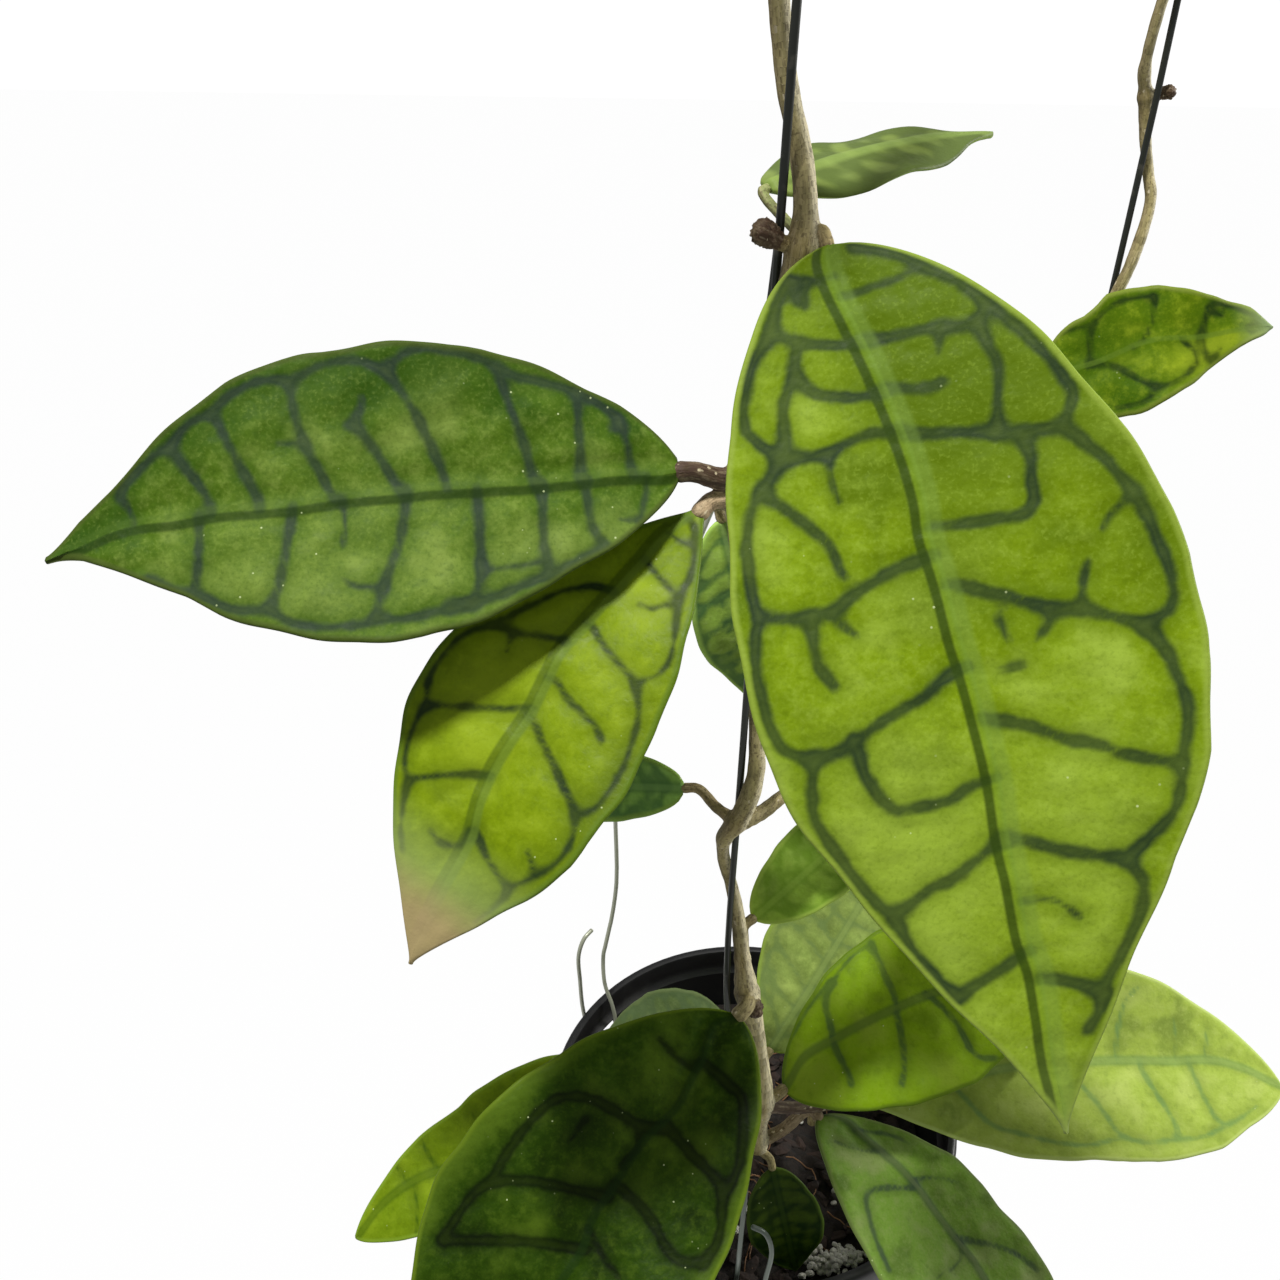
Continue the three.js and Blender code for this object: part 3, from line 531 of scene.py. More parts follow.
# (along the rim, out from the pot's axis, height) of each point of a clip
CLIP = ((3, 70.8, 145), (6.5, 71.2, 143.5), (9, 71.8, 137), (8.4, 72.0, 122), (7, 72.2, 106),
        (5.6, 71.6, 97.5), (4.3, 69.4, 93.6), (2.4, 66.3, 92.4), (0.9, 63.1, 94), (0, 62.2, 99),
        (0, 63.6, 107), (0, 67.4, 117))


def smooth_step(x, low, high):
    """0 below low, 1 above high and a smooth rise between."""
    t = np.clip((x - low) / (high - low), 0, 1)
    return t * t * (3 - 2 * t)


def wire_at(wire, z):
    """Where a hanger wire passes at a height."""
    lean = smooth_step(z, *wire["bend"])
    angle = math.radians(wire["foot"] + (wire["upper"] - wire["foot"]) * lean)
    t = min(max((z - SHOULDER_Z) / (FERRULE["bottom"] - SHOULDER_Z), 0), 1)
    radius = WIRE_CIRCLE + (FERRULE["wire_circle"] - WIRE_CIRCLE) * (0.5 - 0.5 * math.cos(math.pi * t))
    return np.array([radius * math.cos(angle), radius * math.sin(angle), z])


def smooth_curve(rows, steps):
    """Rows of numbers, the first three a place, with steps between each two on a smooth curve."""
    rows = np.array(rows, float)
    rows = np.vstack([2 * rows[0] - rows[1], rows, 2 * rows[-1] - rows[-2]])
    out = []
    for a, b, c, d in zip(rows, rows[1:], rows[2:], rows[3:]):
        t0, t1, t2 = (max(np.linalg.norm(q[:3] - p[:3]), 1e-6) ** 0.5
                      for p, q in ((a, b), (b, c), (c, d)))
        m1 = ((b - a) / t0 - (c - a) / (t0 + t1) + (c - b) / t1) * t1
        m2 = ((c - b) / t1 - (d - b) / (t1 + t2) + (d - c) / t2) * t1
        for k in range(steps):
            t = k / steps
            out.append(b + m1 * t + (3 * (c - b) - 2 * m1 - m2) * t ** 2
                       + (2 * (b - c) + m1 + m2) * t ** 3)
    return np.array([*out, rows[-2]])


# Steel wire under black lacquer: black with a grey glint, pale grey low down as a painted
# reflection of the white room, with small chipped marks every 5 mm or so.
for wire in HANGER_WIRES:
    foot = math.radians(wire["foot"])
    out, along = (math.cos(foot), math.sin(foot)), (-math.sin(foot), math.cos(foot))
    route = [(out[0] * r + along[0] * t, out[1] * r + along[1] * t, z) for t, r, z in CLIP]
    low, high = wire["bend"]
    stands = sorted({z for z in (128, 144, 160, low + 20, high - 20, high)
                     if CLIP_TOP_Z < z <= high})
    route += [wire_at(wire, z) for z in stands]
    if "bowed" in wire:
        route += [*wire["bowed"], wire_at(wire, FERRULE["bottom"])]
    else:
        route.append(wire_at(wire, 320))
        route += [wire_at(wire, z) for z in np.linspace(SHOULDER_Z, FERRULE["bottom"], 9)]
    route.append([*wire_at(wire, FERRULE["bottom"])[:2], FERRULE["top"] - 4])
    path = smooth_curve(route, 6)
    made = round_path(wire["name"] + "_lacquered", path, [WIRE_RADIUS] * len(path), LACQUER_SIDES)

    lacquer, tree = new_material("black_lacquered_steel_" + wire["name"].removeprefix("hanger_wire_"))
    place = add_node(tree, "TexCoord").outputs["Object"]
    height = add_node(tree, "SeparateXYZ", links={0: place})
    chipped = add_node(tree, "TexNoise", {"Scale": 220, "Detail": 4}, {"Vector": place})
    # painted reflection of the white room: the wire turns pale grey below a height
    pale_to = wire["pale_below"] * MM
    colour = lay_tints(tree, linear("#2c2f2a"), [
        (linear(wire["pale_reflection"]), (height.outputs[2], pale_to + 0.03, pale_to - 0.02, 0.0, 1.0))],
        "SMOOTHSTEP")
    colour = lay_tints(tree, colour, [(linear("#6d6a60"), (chipped.outputs[0], 0.62, 0.75, 0.0, 0.6))])
    shader = add_node(tree, "BsdfPrincipled", {"Metallic": 0.25, "Roughness": 0.34},
                      {"Base Color": colour})
    add_node(tree, "OutputMaterial", links={"Surface": shader.outputs[0]})
    made.data.materials.append(lacquer)
    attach(made, "root")
    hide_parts(wire["name"])

# Ferrule: a short lacquered steel sleeve, crimped on the three wires and the hook's shank, with
# two crimp grooves pressed round it.
CRIMP_DEPTH = 0.5
bottom, top = FERRULE["bottom"], FERRULE["top"]
sleeve_profile = [(1.3, bottom + 0.3), (4.8, bottom + 0.1), (5.3, bottom)]
for z in np.linspace(bottom + 0.5, top - 0.5, 29):
    groove = sum(CRIMP_DEPTH * math.exp(-((z - at) / 0.9) ** 2) for at in (bottom + 5, top - 5))
    ends = 0.5 * max(0, 1 - min(z - bottom, top - z) / 1.2)
    sleeve_profile.append((FERRULE["radius"] - groove - ends, z))
sleeve_profile += [(5.2, top), (1.7, top), (1.55, top - 0.6), (1.5, top - 9)]
sleeve = laid_grid("crimped_ferrule", turned(sleeve_profile, 48))

# Hook: 2.4 mm steel wire with black lacquer, bent to an open ring with a short straight shank
# that is held in the ferrule.
HOOK = {"wire": 1.2, "radius": 16, "centre_z": 613}
bow = [(0, 0, bottom + 7), (0, 0, top), (0.3, 0, top + 4)]
for angle in np.radians(np.linspace(-62, 212, 17)):
    bow.append((HOOK["radius"] * math.cos(angle), 0,
                HOOK["centre_z"] + HOOK["radius"] * math.sin(angle)))
bow.append((-HOOK["radius"] * 1.05, 0, HOOK["centre_z"] - HOOK["radius"] * 0.78))
path = smooth_curve(bow, 6)
ring = round_path("bent_wire_hook", path, [HOOK["wire"]] * len(path), 16)

# Bright steel under black lacquer, with a few bare, brighter rubs of 7 mm where it is handled and
# hung. The ferrule has the same finish.
hook_lacquer, tree = new_material("black_lacquered_steel_hook")
place = add_node(tree, "TexCoord").outputs["Object"]
rubs = add_node(tree, "TexNoise", {"Scale": 140, "Detail": 5}, {"Vector": place})
colour = lay_tints(tree, linear("#202427"), [
    (linear("#6f6f6c"), (rubs.outputs[0], 0.6, 0.72, 0.0, 1.0))])
shader = add_node(tree, "BsdfPrincipled", {"Metallic": 0.5, "Roughness": 0.35}, {"Base Color": colour})
add_node(tree, "OutputMaterial", links={"Surface": shader.outputs[0]})
for piece, replaced in ((sleeve, "hanger_ferrule"), (ring, "hanger_hook")):
    piece.data.materials.append(hook_lacquer)
    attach(piece, "root")
    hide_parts(replaced)

# Vines: two old woody stems that grow from the mix, lean out to a hanger wire and twine up it,
# thickened at every node, with a short thick petiole for each leaf and dead stubs of side shoots.
# Each vine with its petioles has grown as one body, with corky bark all over.

# Every leaf. base, tip, up and width place its blade; wide, full and point shape the outline, and
# left and right stand it out by millimetres at hundredths of its length. sweep and arch bow the
# midrib to the side and the face, fold is how far the halves stand up, and wave and phase are the
# height and the start of the margin's waves. The petiole leaves the stem at from, is stalk in
# radius, tapers to a share of that, and its last stretch, neck, is in line with the blade.
LEAF_PLAIN = {"wide": 0.45, "full": 0.6, "point": 1.1, "sweep": 0, "arch": 4, "fold": 0.1, "wave": 1,
              "phase": 0, "neck": 2.5, "taper": 1}
FRONT_LEAVES = (
    {"name": "leaf_01", "base": (-12, -73, 425.5), "tip": (26, -157, 314), "up": (-0.15, -0.81, 0.57),
     "width": 68.8, "wide": 0.465, "point": 1.18, "sweep": -3.4, "arch": 6,
     "left": ((0, 0.6), (8, -0.4), (18, -1.2), (40, -1.2), (52, -0.4), (62, 0), (98, 0)),
     "right": ((0, 0), (8, 0.4), (28, 0.1), (33, 0.6), (38, 1.1), (43, 1.1), (48, 0.3), (53, -0.2),
               (58, 0.3), (63, 1.0), (68, 0.6), (73, -0.5), (83, -0.2), (98, 0)),
     "from": (-16.2, -69.4, 421.8), "stalk": 2.0, "taper": 0.62},
    {"name": "leaf_02", "base": (-35, -71, 384), "tip": (-145.3, -87.5, 373), "up": (0.06, -0.73, 0.68),
     "width": 53, "wide": 0.5, "full": 0.64, "point": 1.2, "sweep": 3.1, "arch": 6, "fold": 0.12,
     "phase": 0.3,
     "left": ((0, 1.2), (8, 1.2), (13, 0.4), (28, -0.2), (33, -1.0), (53, -1.4), (58, -0.8), (64, 0.2),
              (68, 0.8), (88, 0.9), (94, 1.5), (100, 0.5)),
     "right": ((0, 0), (20, 0), (38, 1.6), (43, 1.8), (48, 1.3), (53, 0.6), (63, -0.3), (73, -1.2),
               (78, -2.1), (94, -1.8), (100, 0)),
     "from": (-23, -68, 381.5), "stalk": 2.1},
    {"name": "leaf_03", "base": (-31, -72, 376), "tip": (-81.5, -123.5, 312.5), "up": (-0.17, -0.69, 0.71),
     "width": 44.5, "wide": 0.53, "full": 0.75, "sweep": 3.4, "arch": 5,
     "right": ((20, 0), (28, -0.5), (38, -1.2), (58, -1.1), (63, -0.7), (68, 0.3), (78, 0.5), (90, 0)),
     "from": (-23, -68, 379.5), "stalk": 1.9},
    {"name": "leaf_04", "base": (-21, -59, 431), "tip": (22, -31.5, 434), "up": (0, 0.12, -0.99),
     "width": 20, "wide": 0.4, "arch": -2, "from": (-14.5, -67.4, 425), "stalk": 0.95, "neck": 0.6},
    {"name": "leaf_06", "base": (-25.5, -56, 366), "tip": (-11, -52, 315), "up": (-0.2, -0.75, 0.6),
     "width": 22, "from": (-22, -65.6, 376), "stalk": 1.3},
    {"name": "leaf_07", "base": (-31.5, -65, 304), "tip": (-73, -55, 296.5), "up": (-0.3, -0.7, 0.6),
     "width": 16, "full": 0.5, "from": (-20, -71, 300), "stalk": 1.25},
    {"name": "leaf_08", "base": (-7, -62, 301), "tip": (49, -9, 291), "up": (0.1, -0.6, 0.8),
     "width": 34, "phase": 0.5, "from": (-18.5, -71, 300), "stalk": 1.7},
    {"name": "leaf_09", "base": (-13, -61.5, 260.5), "tip": (25, -32, 277.5), "up": (0.19, -0.56, 0.81),
     "width": 20, "point": 1.3, "arch": 3, "from": (-15.6, -65.8, 254), "stalk": 1.4},
    {"name": "leaf_10", "base": (1.8, -47.6, 176.8), "tip": (76.5, -23.8, 202.6), "up": (0.12, -0.5, 0.86),
     "width": 48, "wide": 0.55, "full": 0.5, "point": 0.8, "sweep": -4, "wave": 1.5,
     "from": (-4.5, -49.5, 174), "stalk": 1.9},
    {"name": "leaf_11", "base": (22.6, -41.8, 164.5), "tip": (146, -43.8, 176), "up": (-0.08, -0.6, 0.8),
     "width": 55, "wide": 0.54, "full": 0.9, "point": 0.7, "sweep": -9, "arch": 6,
     "left": ((0, 0), (28, 1.5), (43, 0.4), (53, -0.6), (60, -0.4), (68, 1.6), (83, 2.4), (90, 1.0),
              (98, 0.8)),
     "from": (-4.5, -50, 172), "stalk": 1.8},
    {"name": "leaf_12", "base": (13.5, -45, 160), "tip": (80, -117, 103), "up": (0.33, -0.43, 0.84),
     "width": 47, "wide": 0.57, "full": 0.45, "point": 0.65, "sweep": -5,
     "right": ((0, 0), (20, 2.5), (28, 3.6), (38, 3.0), (45, 1.8), (60, 1.7), (90, 0)),
     "from": (-3, -38.5, 138), "stalk": 1.9},
    {"name": "leaf_13", "base": (-16.5, -73.5, 239), "tip": (-82, -145, 171), "up": (-0.06, -0.66, 0.75),
     "width": 66.5, "wide": 0.54, "full": 0.5, "point": 0.8, "sweep": 5, "arch": 7, "wave": 1.8,
     "phase": 0.2, "from": (-14, -66, 238), "stalk": 2.2},
    {"name": "leaf_14", "base": (-21, -60, 187), "tip": (-117, -81, 154), "up": (-0.18, -0.54, 0.82),
     "width": 38, "wide": 0.42, "full": 0.5, "point": 0.7, "sweep": 8,
     "left": ((30, 0), (58, -1.2), (63, -2.0), (68, -1.2), (76, 0), (100, 0.6)),
     "from": (-4.8, -50.5, 175), "stalk": 1.7},
    {"name": "leaf_15", "base": (-9, -6, 146), "tip": (-51, 8, 130), "up": (-0.2, -0.75, 0.6),
     "width": 34, "wide": 0.42, "full": 0.5, "point": 0.85, "arch": 3,
     "from": (-3, -38, 137.5), "stalk": 1.6},
    {"name": "leaf_16", "base": (2, -42, 130), "tip": (11, -54, 94), "up": (0, -0.8, 0.6), "width": 24,
     "wide": 0.5, "full": 0.5, "point": 0.9, "arch": 2, "from": (-3, -38, 136), "stalk": 1.4},
    {"name": "leaf_17", "base": (-1.5, -35, 178), "tip": (40, 23, 204), "up": (0.1, -0.6, 0.8),
     "width": 42, "wide": 0.5, "point": 1, "phase": 0.4, "from": (-4.5, -49.5, 175), "stalk": 1.6},
    {"name": "leaf_18", "base": (-29, -80, 506), "tip": (-52, -92, 524), "up": (-0.3, 0.3, 0.9),
     "width": 13, "wide": 0.42, "arch": 2, "wave": 0.4, "from": "tip", "stalk": 0.9},
    {"name": "leaf_19", "base": (-8, -72, 508), "tip": (18, -76, 527), "up": (0.3, 0.3, 0.9),
     "width": 12, "wide": 0.42, "arch": 2, "wave": 0.4, "from": "tip", "stalk": 0.9},
)
RIGHT_LEAVES = (
    {"name": "leaf_05", "base": (52.4, 1.5, 373.4), "tip": (101.9, 4, 385.3), "up": (-0.1, -0.87, 0.5),
     "width": 27, "wide": 0.37, "full": 0.55, "point": 0.88, "sweep": -2, "arch": 3,
     "left": ((0, 0), (25, 1.2), (33, 1.4), (38, 0.9), (48, 0), (63, -0.8), (73, -1.5), (83, -1.6),
              (96, 0)),
     "right": ((0, 0), (13, -1.2), (18, -2.0), (25, -1.2), (30, 0), (73, 0), (83, 0.9), (92, 1.8),
               (100, 0)),
     "from": (66.3, 14.6, 375), "stalk": 1.4},
    {"name": "leaf_20", "base": (57.5, 19, 371), "tip": (29, 44.5, 343), "up": (-0.3, -0.5, 0.8),
     "width": 26, "from": (66.3, 14.6, 375), "stalk": 1.2},
    {"name": "leaf_21", "base": (61, 26, 290), "tip": (30, 86, 276), "up": (-0.2, -0.5, 0.85),
     "width": 40, "phase": 0.2, "from": (69.8, 18.7, 287), "stalk": 1.5},
    {"name": "leaf_22", "base": (78, 24, 289), "tip": (121, 102, 290), "up": (0.3, -0.5, 0.85),
     "width": 42, "phase": 0.6, "from": (69.8, 18.7, 287), "stalk": 1.5},
    {"name": "leaf_23", "base": (59, 20, 203), "tip": (55, 94, 186), "up": (-0.2, -0.4, 0.85),
     "width": 42, "phase": 0.4, "from": (64.8, 17, 197), "stalk": 1.5},
    {"name": "leaf_24", "base": (74, 9, 201), "tip": (127, 82, 178), "up": (0.3, -0.5, 0.85),
     "width": 44, "phase": 0.1, "from": (65, 14.4, 198), "stalk": 1.5},
    {"name": "leaf_25", "base": (74, 22, 503), "tip": (92, 40, 518), "up": (0.3, -0.3, 0.9), "width": 11,
     "wide": 0.42, "arch": 2, "wave": 0.3, "from": "tip", "stalk": 0.8},
    {"name": "leaf_26", "base": (75, 9, 503), "tip": (93, -8, 516), "up": (0.3, 0.3, 0.9), "width": 11,
     "wide": 0.42, "arch": 2, "wave": 0.3, "from": "tip", "stalk": 0.8},
)
# foot: places and radii from the mix to the wire; twining: height, side of the wire in degrees,
# gap left to it and radius; stubs: places and radii of dead side shoots; nodes: the heights of the
# swollen rings; wire: which of the hanger wires the vine climbs.
VINES = (
    {"name": "vine_front", "wire": 0, "leaves": FRONT_LEAVES,
     "foot": ((0.5, -2, 50, 2.6), (0.5, -2, 70, 2.6), (0.5, -2.5, 90, 2.6), (-0.8, -16, 110, 2.5),
              (-3, -38, 137, 3.4), (-4, -45, 157, 2.5), (-4.5, -50, 174, 3.2), (-8, -58, 207, 2.0),
              (-13.6, -65, 238, 3.1)),
     "twining": ((252, 5, 0.9, 2.0), (275, 95, 0.6, 1.5), (288, 170, 0.6, 1.5), (300, 262, 0.6, 2.4),
                 (318, 375, 0.6, 1.75), (348, 450, 0.6, 1.9), (381, 545, 0.6, 2.9), (404, 610, 0.6, 1.9),
                 (424, 681, 0.9, 2.9), (432, 712, 0.8, 2.0), (439, 765, 0.7, 1.9), (447, 810, 0.7, 1.8),
                 (458, 855, 0.7, 1.7), (480, 960, 0.9, 1.5), (498, 1040, 1.2, 1.7), (508, 1080, 1.6, 0.9)),
     "stubs": (((-16.5, -70, 424.5, 1.6), (-19.6, -70.8, 425.6, 1.25), (-22.2, -70.8, 427, 2.15),
                (-23.2, -70.7, 427.4, 1.9)),
               ((-13.6, -65.5, 238, 2.4), (-12, -68, 236, 2.2), (-11.5, -69.2, 235, 1.6))),
     "nodes": (137, 174, 238, 252, 300, 381, 424, 498)},
    {"name": "vine_right", "wire": 1, "leaves": RIGHT_LEAVES,
     "foot": ((24, 8, 52, 2.0), (24, 8, 72, 2.0), (24.2, 8, 91, 2.0), (30, 9, 108, 1.9),
              (47, 14, 148, 1.8)),
     "twining": ((190, -540, 0.8, 1.9), (235, -430, 0.8, 1.6), (287, -320, 0.8, 2.2),
                 (335, -210, 0.8, 1.5), (375, -125, 0.8, 2.2), (387, -90, 0.9, 1.4), (397, -45, 1.6, 1.4),
                 (410, 0, 2.6, 1.3), (415, 25, 1.8, 1.3), (424, 70, 0.8, 1.3), (431, 96, 0.7, 1.7),
                 (440, 165, 1.0, 1.2), (450, 195, 0.9, 1.2), (470, 270, 0.8, 1.2), (490, 350, 1.0, 1.4),
                 (499, 390, 1.6, 0.8)),
     "stubs": (((67.6, 19.9, 431, 1.2), (70.6, 19.3, 432, 1.1), (72.6, 18.6, 432.5, 1.3)),),
     "nodes": (197, 287, 335, 375, 431, 490)},
)
# half widths of a blade where it joins its petiole and at its tip, and waves along its margin
BLADE_FOOT = 1.5
BLADE_POINT = 0.4
MARGIN_WAVES = 2.2
# a petiole's gap to its blade, how far it laps over that gap, and how far the rings round a
# petiole's end and round a stem's nodes stand out
PETIOLE_GAP = 0.75
PETIOLE_LAP = 0.9
PETIOLE_RING = 0.10
NODE_RING = 0.28
BARK_VOXEL = 0.42
# painted_light_side: painted highlight towards the light at the right; shaded: painted shade away from it
BARK_COLOURS = {"stem": "#bdb078", "node": "#94834a", "dead": "#4a321c", "painted_light_side": "#f0e6c0",
                "shaded": "#544426"}
# pale tan where a petiole is old and corky, brown where it is dry; the rest are plain
PETIOLE_COLOURS = {"leaf_01": "#b8a66e", "leaf_02": "#4a3426", "leaf_03": "#bfa583",
                   "leaf_04": "#8f9a5a", "leaf_07": "#9c8a5c", "leaf_11": "#4d3a2a",
                   "leaf_12": "#93805e"}
PETIOLE_PLAIN = "#9c9060"


def unit(v):
    """A direction of length 1."""
    v = np.asarray(v, float)
    return v / np.linalg.norm(v)


def outline(u, leaf):
    """Half width of a blade along it, as a share of the largest."""
    hump = np.clip(np.sin(np.pi * np.clip(u, 0, 1) ** (math.log(0.5) / math.log(leaf["wide"]))), 0, 1)
    blend = smooth_step(u, leaf["wide"] - 0.15, leaf["wide"] + 0.15)
    return hump ** leaf["full"] * (1 - blend) + hump ** leaf["point"] * blend


def half_width(u, leaf):
    """Half width of a blade along it, in millimetres."""
    return np.hypot(leaf["width"] / 2 * outline(u, leaf), BLADE_FOOT + (BLADE_POINT - BLADE_FOOT) * u)


def margin_at(u, v, leaf):
    """Half width on the side of v, with what that side stands out or in from the plain shape."""
    grown = half_width(u, leaf)
    for side, key in ((1, "left"), (-1, "right")):
        if key in leaf:
            at, out = zip(*leaf[key])
            grown = grown + np.interp(u * 100, at, out) * (np.sign(v) == side)
    scallop = (0.22 * np.sin(u * 31 + 2 * np.sign(v))
               + 0.16 * np.sin(u * 53 + leaf["phase"] * 9 + np.sign(v)))
    to_tip, to_base = np.minimum(1, 6 * (1 - u)), np.minimum(1, 6 * u)
    return np.maximum(grown + scallop * (leaf["width"] / 60) * to_tip * to_base, 0.3)


def blade_points(leaf, u, v, rib=0.0):
    """Points of a blade's middle surface: u from base to tip, v from margin to margin."""
    base, tip = np.array(leaf["base"], float), np.array(leaf["tip"], float)
    axis = unit(tip - base)
    face = np.array(leaf["up"], float)
    face = unit(face - axis * (face @ axis))
    side = np.cross(axis, face)
    bow = 4 * u * (1 - u)
    half = margin_at(u, v, leaf)
    across = v * half
    wave = leaf["wave"] * np.sin(
        2 * np.pi * (MARGIN_WAVES * u + 0.2 * np.sign(v) + leaf["phase"]))
    rise = leaf["fold"] * np.abs(across - rib) + wave * v * v * np.sqrt(np.maximum(bow, 0))
    length = np.linalg.norm(tip - base)
    return (base + (u * length)[..., None] * axis + (leaf["arch"] * bow + rise)[..., None] * face
            + (leaf["sweep"] * bow + across)[..., None] * side)


def fill_turns(rows):
    """The turning between two rows of a vine is filled in, so that it stays clear of the wire."""
    filled = []
    for a, b in zip(rows, rows[1:]):
        pieces = max(1, round((b[1] - a[1]) / 40))
        filled += [np.array(a) + (np.array(b) - np.array(a)) * k / pieces for k in range(pieces)]
    return [*filled, np.array(rows[-1])]


def swollen(rows, steps):
    """A smooth path through rows of places and radii, the radius rising and falling smoothly."""
    path = smooth_curve(rows, steps)
    rows = np.array(rows, float)
    for i in range(len(path)):
        span = min(i // steps, len(rows) - 2)
        t = smooth_step(i / steps - span, 0, 1)
        path[i, 3] = rows[span, 3] + (rows[span + 1, 3] - rows[span, 3]) * t
    return path


def nearest_on(path, points):
    """For each point: how far its place is outside the path's surface, and the nearest row."""
    gap = np.full(len(points), 1e9)
    row = np.zeros(len(points), int)
    for start in range(0, len(points), 4000):
        part = points[start:start + 4000]
        away = np.linalg.norm(part[:, None] - path[None, :, :3], axis=2) - path[None, :, 3]
        row[start:start + 4000] = away.argmin(1)
        gap[start:start + 4000] = away.min(1)
    return gap, row


chance = np.random.default_rng(5)
vine_pieces = []
for vine in VINES:
    wire = HANGER_WIRES[vine["wire"]]
    rows = list(vine["foot"])
    for z, side, gap, radius in fill_turns(vine["twining"]):
        away = WIRE_RADIUS + gap + radius
        centre = wire_at(wire, z)
        rows.append((centre[0] + away * math.cos(math.radians(side)),
                     centre[1] + away * math.sin(math.radians(side)), z, radius))
    stem = swollen(rows, 9)
    for z in vine["nodes"]:
        ring = np.exp(-((stem[:, 2] - z) / 1.1) ** 2)
        neck = 0.6 * np.exp(-((stem[:, 2] - z - 2.4) / 0.9) ** 2)
        stem[:, 3] += NODE_RING * (ring - neck)
    stem[:, 3] *= 1 + 0.035 * np.sin(stem[:, 2] * 0.9 + 1.3) * np.sin(stem[:, 2] * 0.37)
    limbs = [("stem", BARK_COLOURS["stem"], stem)]
    near_tip = rows[-2][:3]
    for leaf in vine["leaves"]:
        leaf = {**LEAF_PLAIN, **leaf}
        base = np.array(leaf["base"], float)
        ends = blade_points(leaf, np.array([0.0, 0.04]), np.array([0.0, 0.0]))
        axis = unit(ends[1] - ends[0])
        start = np.array(near_tip if leaf["from"] == "tip" else leaf["from"], float)
        reach = np.linalg.norm(start - base)
        end = base - axis * (PETIOLE_GAP - PETIOLE_LAP)
        before = base - axis * (PETIOLE_GAP + min(leaf["neck"], reach * 0.35))
        middle = (start + before) / 2 - np.array([0, 0, min(reach * 0.06, 1.5)])
        r = leaf["stalk"]
        r_end = r * leaf["taper"]
        stalk = swollen(
            [(*start, r * 1.15), (*middle, r), (*before, r_end * 0.92), (*end, r_end * 0.88)], 12)
        turns = np.arange(len(stalk)) / (len(stalk) - 1)
        stalk[:, 3] *= 1 + 0.05 * np.sin(turns * reach * 3.2) * (1 - turns) + PETIOLE_RING * np.exp(
            -((turns - 0.93) / 0.05) ** 2)
        limbs.append(("petiole", PETIOLE_COLOURS.get(leaf["name"], PETIOLE_PLAIN), stalk))
    for stub in vine["stubs"]:
        shoot = swollen(stub, 9)
        shoot[:, 3] *= 1 + chance.normal(0, 0.17, len(shoot)) * np.linspace(0, 1, len(shoot))
        limbs.append(("dead", BARK_COLOURS["dead"], shoot))
    tubes = [round_path(kind, path[:, :3], path[:, 3], 20) for kind, _, path in limbs]
    wood = join_pieces(tubes, vine["name"] + "_bark")
    use_modifier(wood, "REMESH", mode="VOXEL", voxel_size=BARK_VOXEL * MM, use_smooth_shade=True)
    use_modifier(wood, "SMOOTH", factor=0.5, iterations=3)

    # Each point of the bark is given its limb's colour there, painted light and shade on its sides,
    # and how far along and round the limb it is, so that the grain runs with the stem.
    flat = np.empty(len(wood.data.vertices) * 3)
    wood.data.vertices.foreach_get("co", flat)
    points = flat.reshape(-1, 3) / MM
    best = np.full(len(points), 1e9)
    shades = np.zeros((len(points), 4))
    grain = np.zeros((len(points), 3))
    lifted = np.zeros((len(points), 3))
    at_node, to_light, in_shade = (
        np.array(linear(BARK_COLOURS[key])) for key in ("node", "painted_light_side", "shaded"))
    for k, (kind, shade, path) in enumerate(limbs):
        gap, row = nearest_on(path, points)
        taken = gap < best - 0.15
        along = np.concatenate([[0], np.cumsum(np.linalg.norm(np.diff(path[:, :3], axis=0), axis=1))])
        normals, sideways = frames_along(path[:, :3])
        out = points - path[row, :3]
        far = np.maximum(np.linalg.norm(out, axis=1), 0.1)
        colours = np.tile(np.array(linear(shade)), (len(points), 1))
        if kind == "dead":
            crusty = smooth_step(along[row], along[-1] * 0.3, along[-1] * 0.6)[:, None]
            colours = at_node * (1 - crusty) + colours * crusty
            rough = taken[:, None] * crusty * chance.uniform(-0.1, 0.45, (len(points), 1))
            lifted += out / far[:, None] * rough
        facing = (out[:, 0] / far)[:, None]
        if kind == "stem":
            for z in vine["nodes"]:
                near = np.exp(-((points[:, 2] - z) / 4.5) ** 2)[:, None] * 0.75
                colours = colours * (1 - near) + at_node * near
            # painted highlight: a stem's side facing the light at the right (+x) is mixed towards cream
            painted_light_side = smooth_step(facing, 0.05, 0.7) * 0.85
            colours = colours * (1 - painted_light_side) + to_light * painted_light_side
        # painted shade: each limb's side facing away from the light (-x) is mixed towards dark brown
        shaded = smooth_step(-facing, 0.05, 0.9) * 0.6
        colours = colours * (1 - shaded) + in_shade * shaded
        around = np.stack([(out * normals[row]).sum(1), (out * sideways[row]).sum(1),
                           along[row] + 37 * k], 1)
        shades[taken] = colours[taken]
        grain[taken] = around[taken]
        best[taken] = gap[taken]
    wood.data.vertices.foreach_set("co", ((points + lifted) * MM).ravel())
    made = wood.data.attributes.new("bark_shade", "FLOAT_COLOR", "POINT")
    made.data.foreach_set("color", shades.astype(np.float32).ravel())
    made = wood.data.attributes.new("bark_grain", "FLOAT_VECTOR", "POINT")
    made.data.foreach_set("vector", grain.astype(np.float32).ravel())
    vine_pieces.append(wood)
    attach(wood, "root")
    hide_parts(vine["name"])

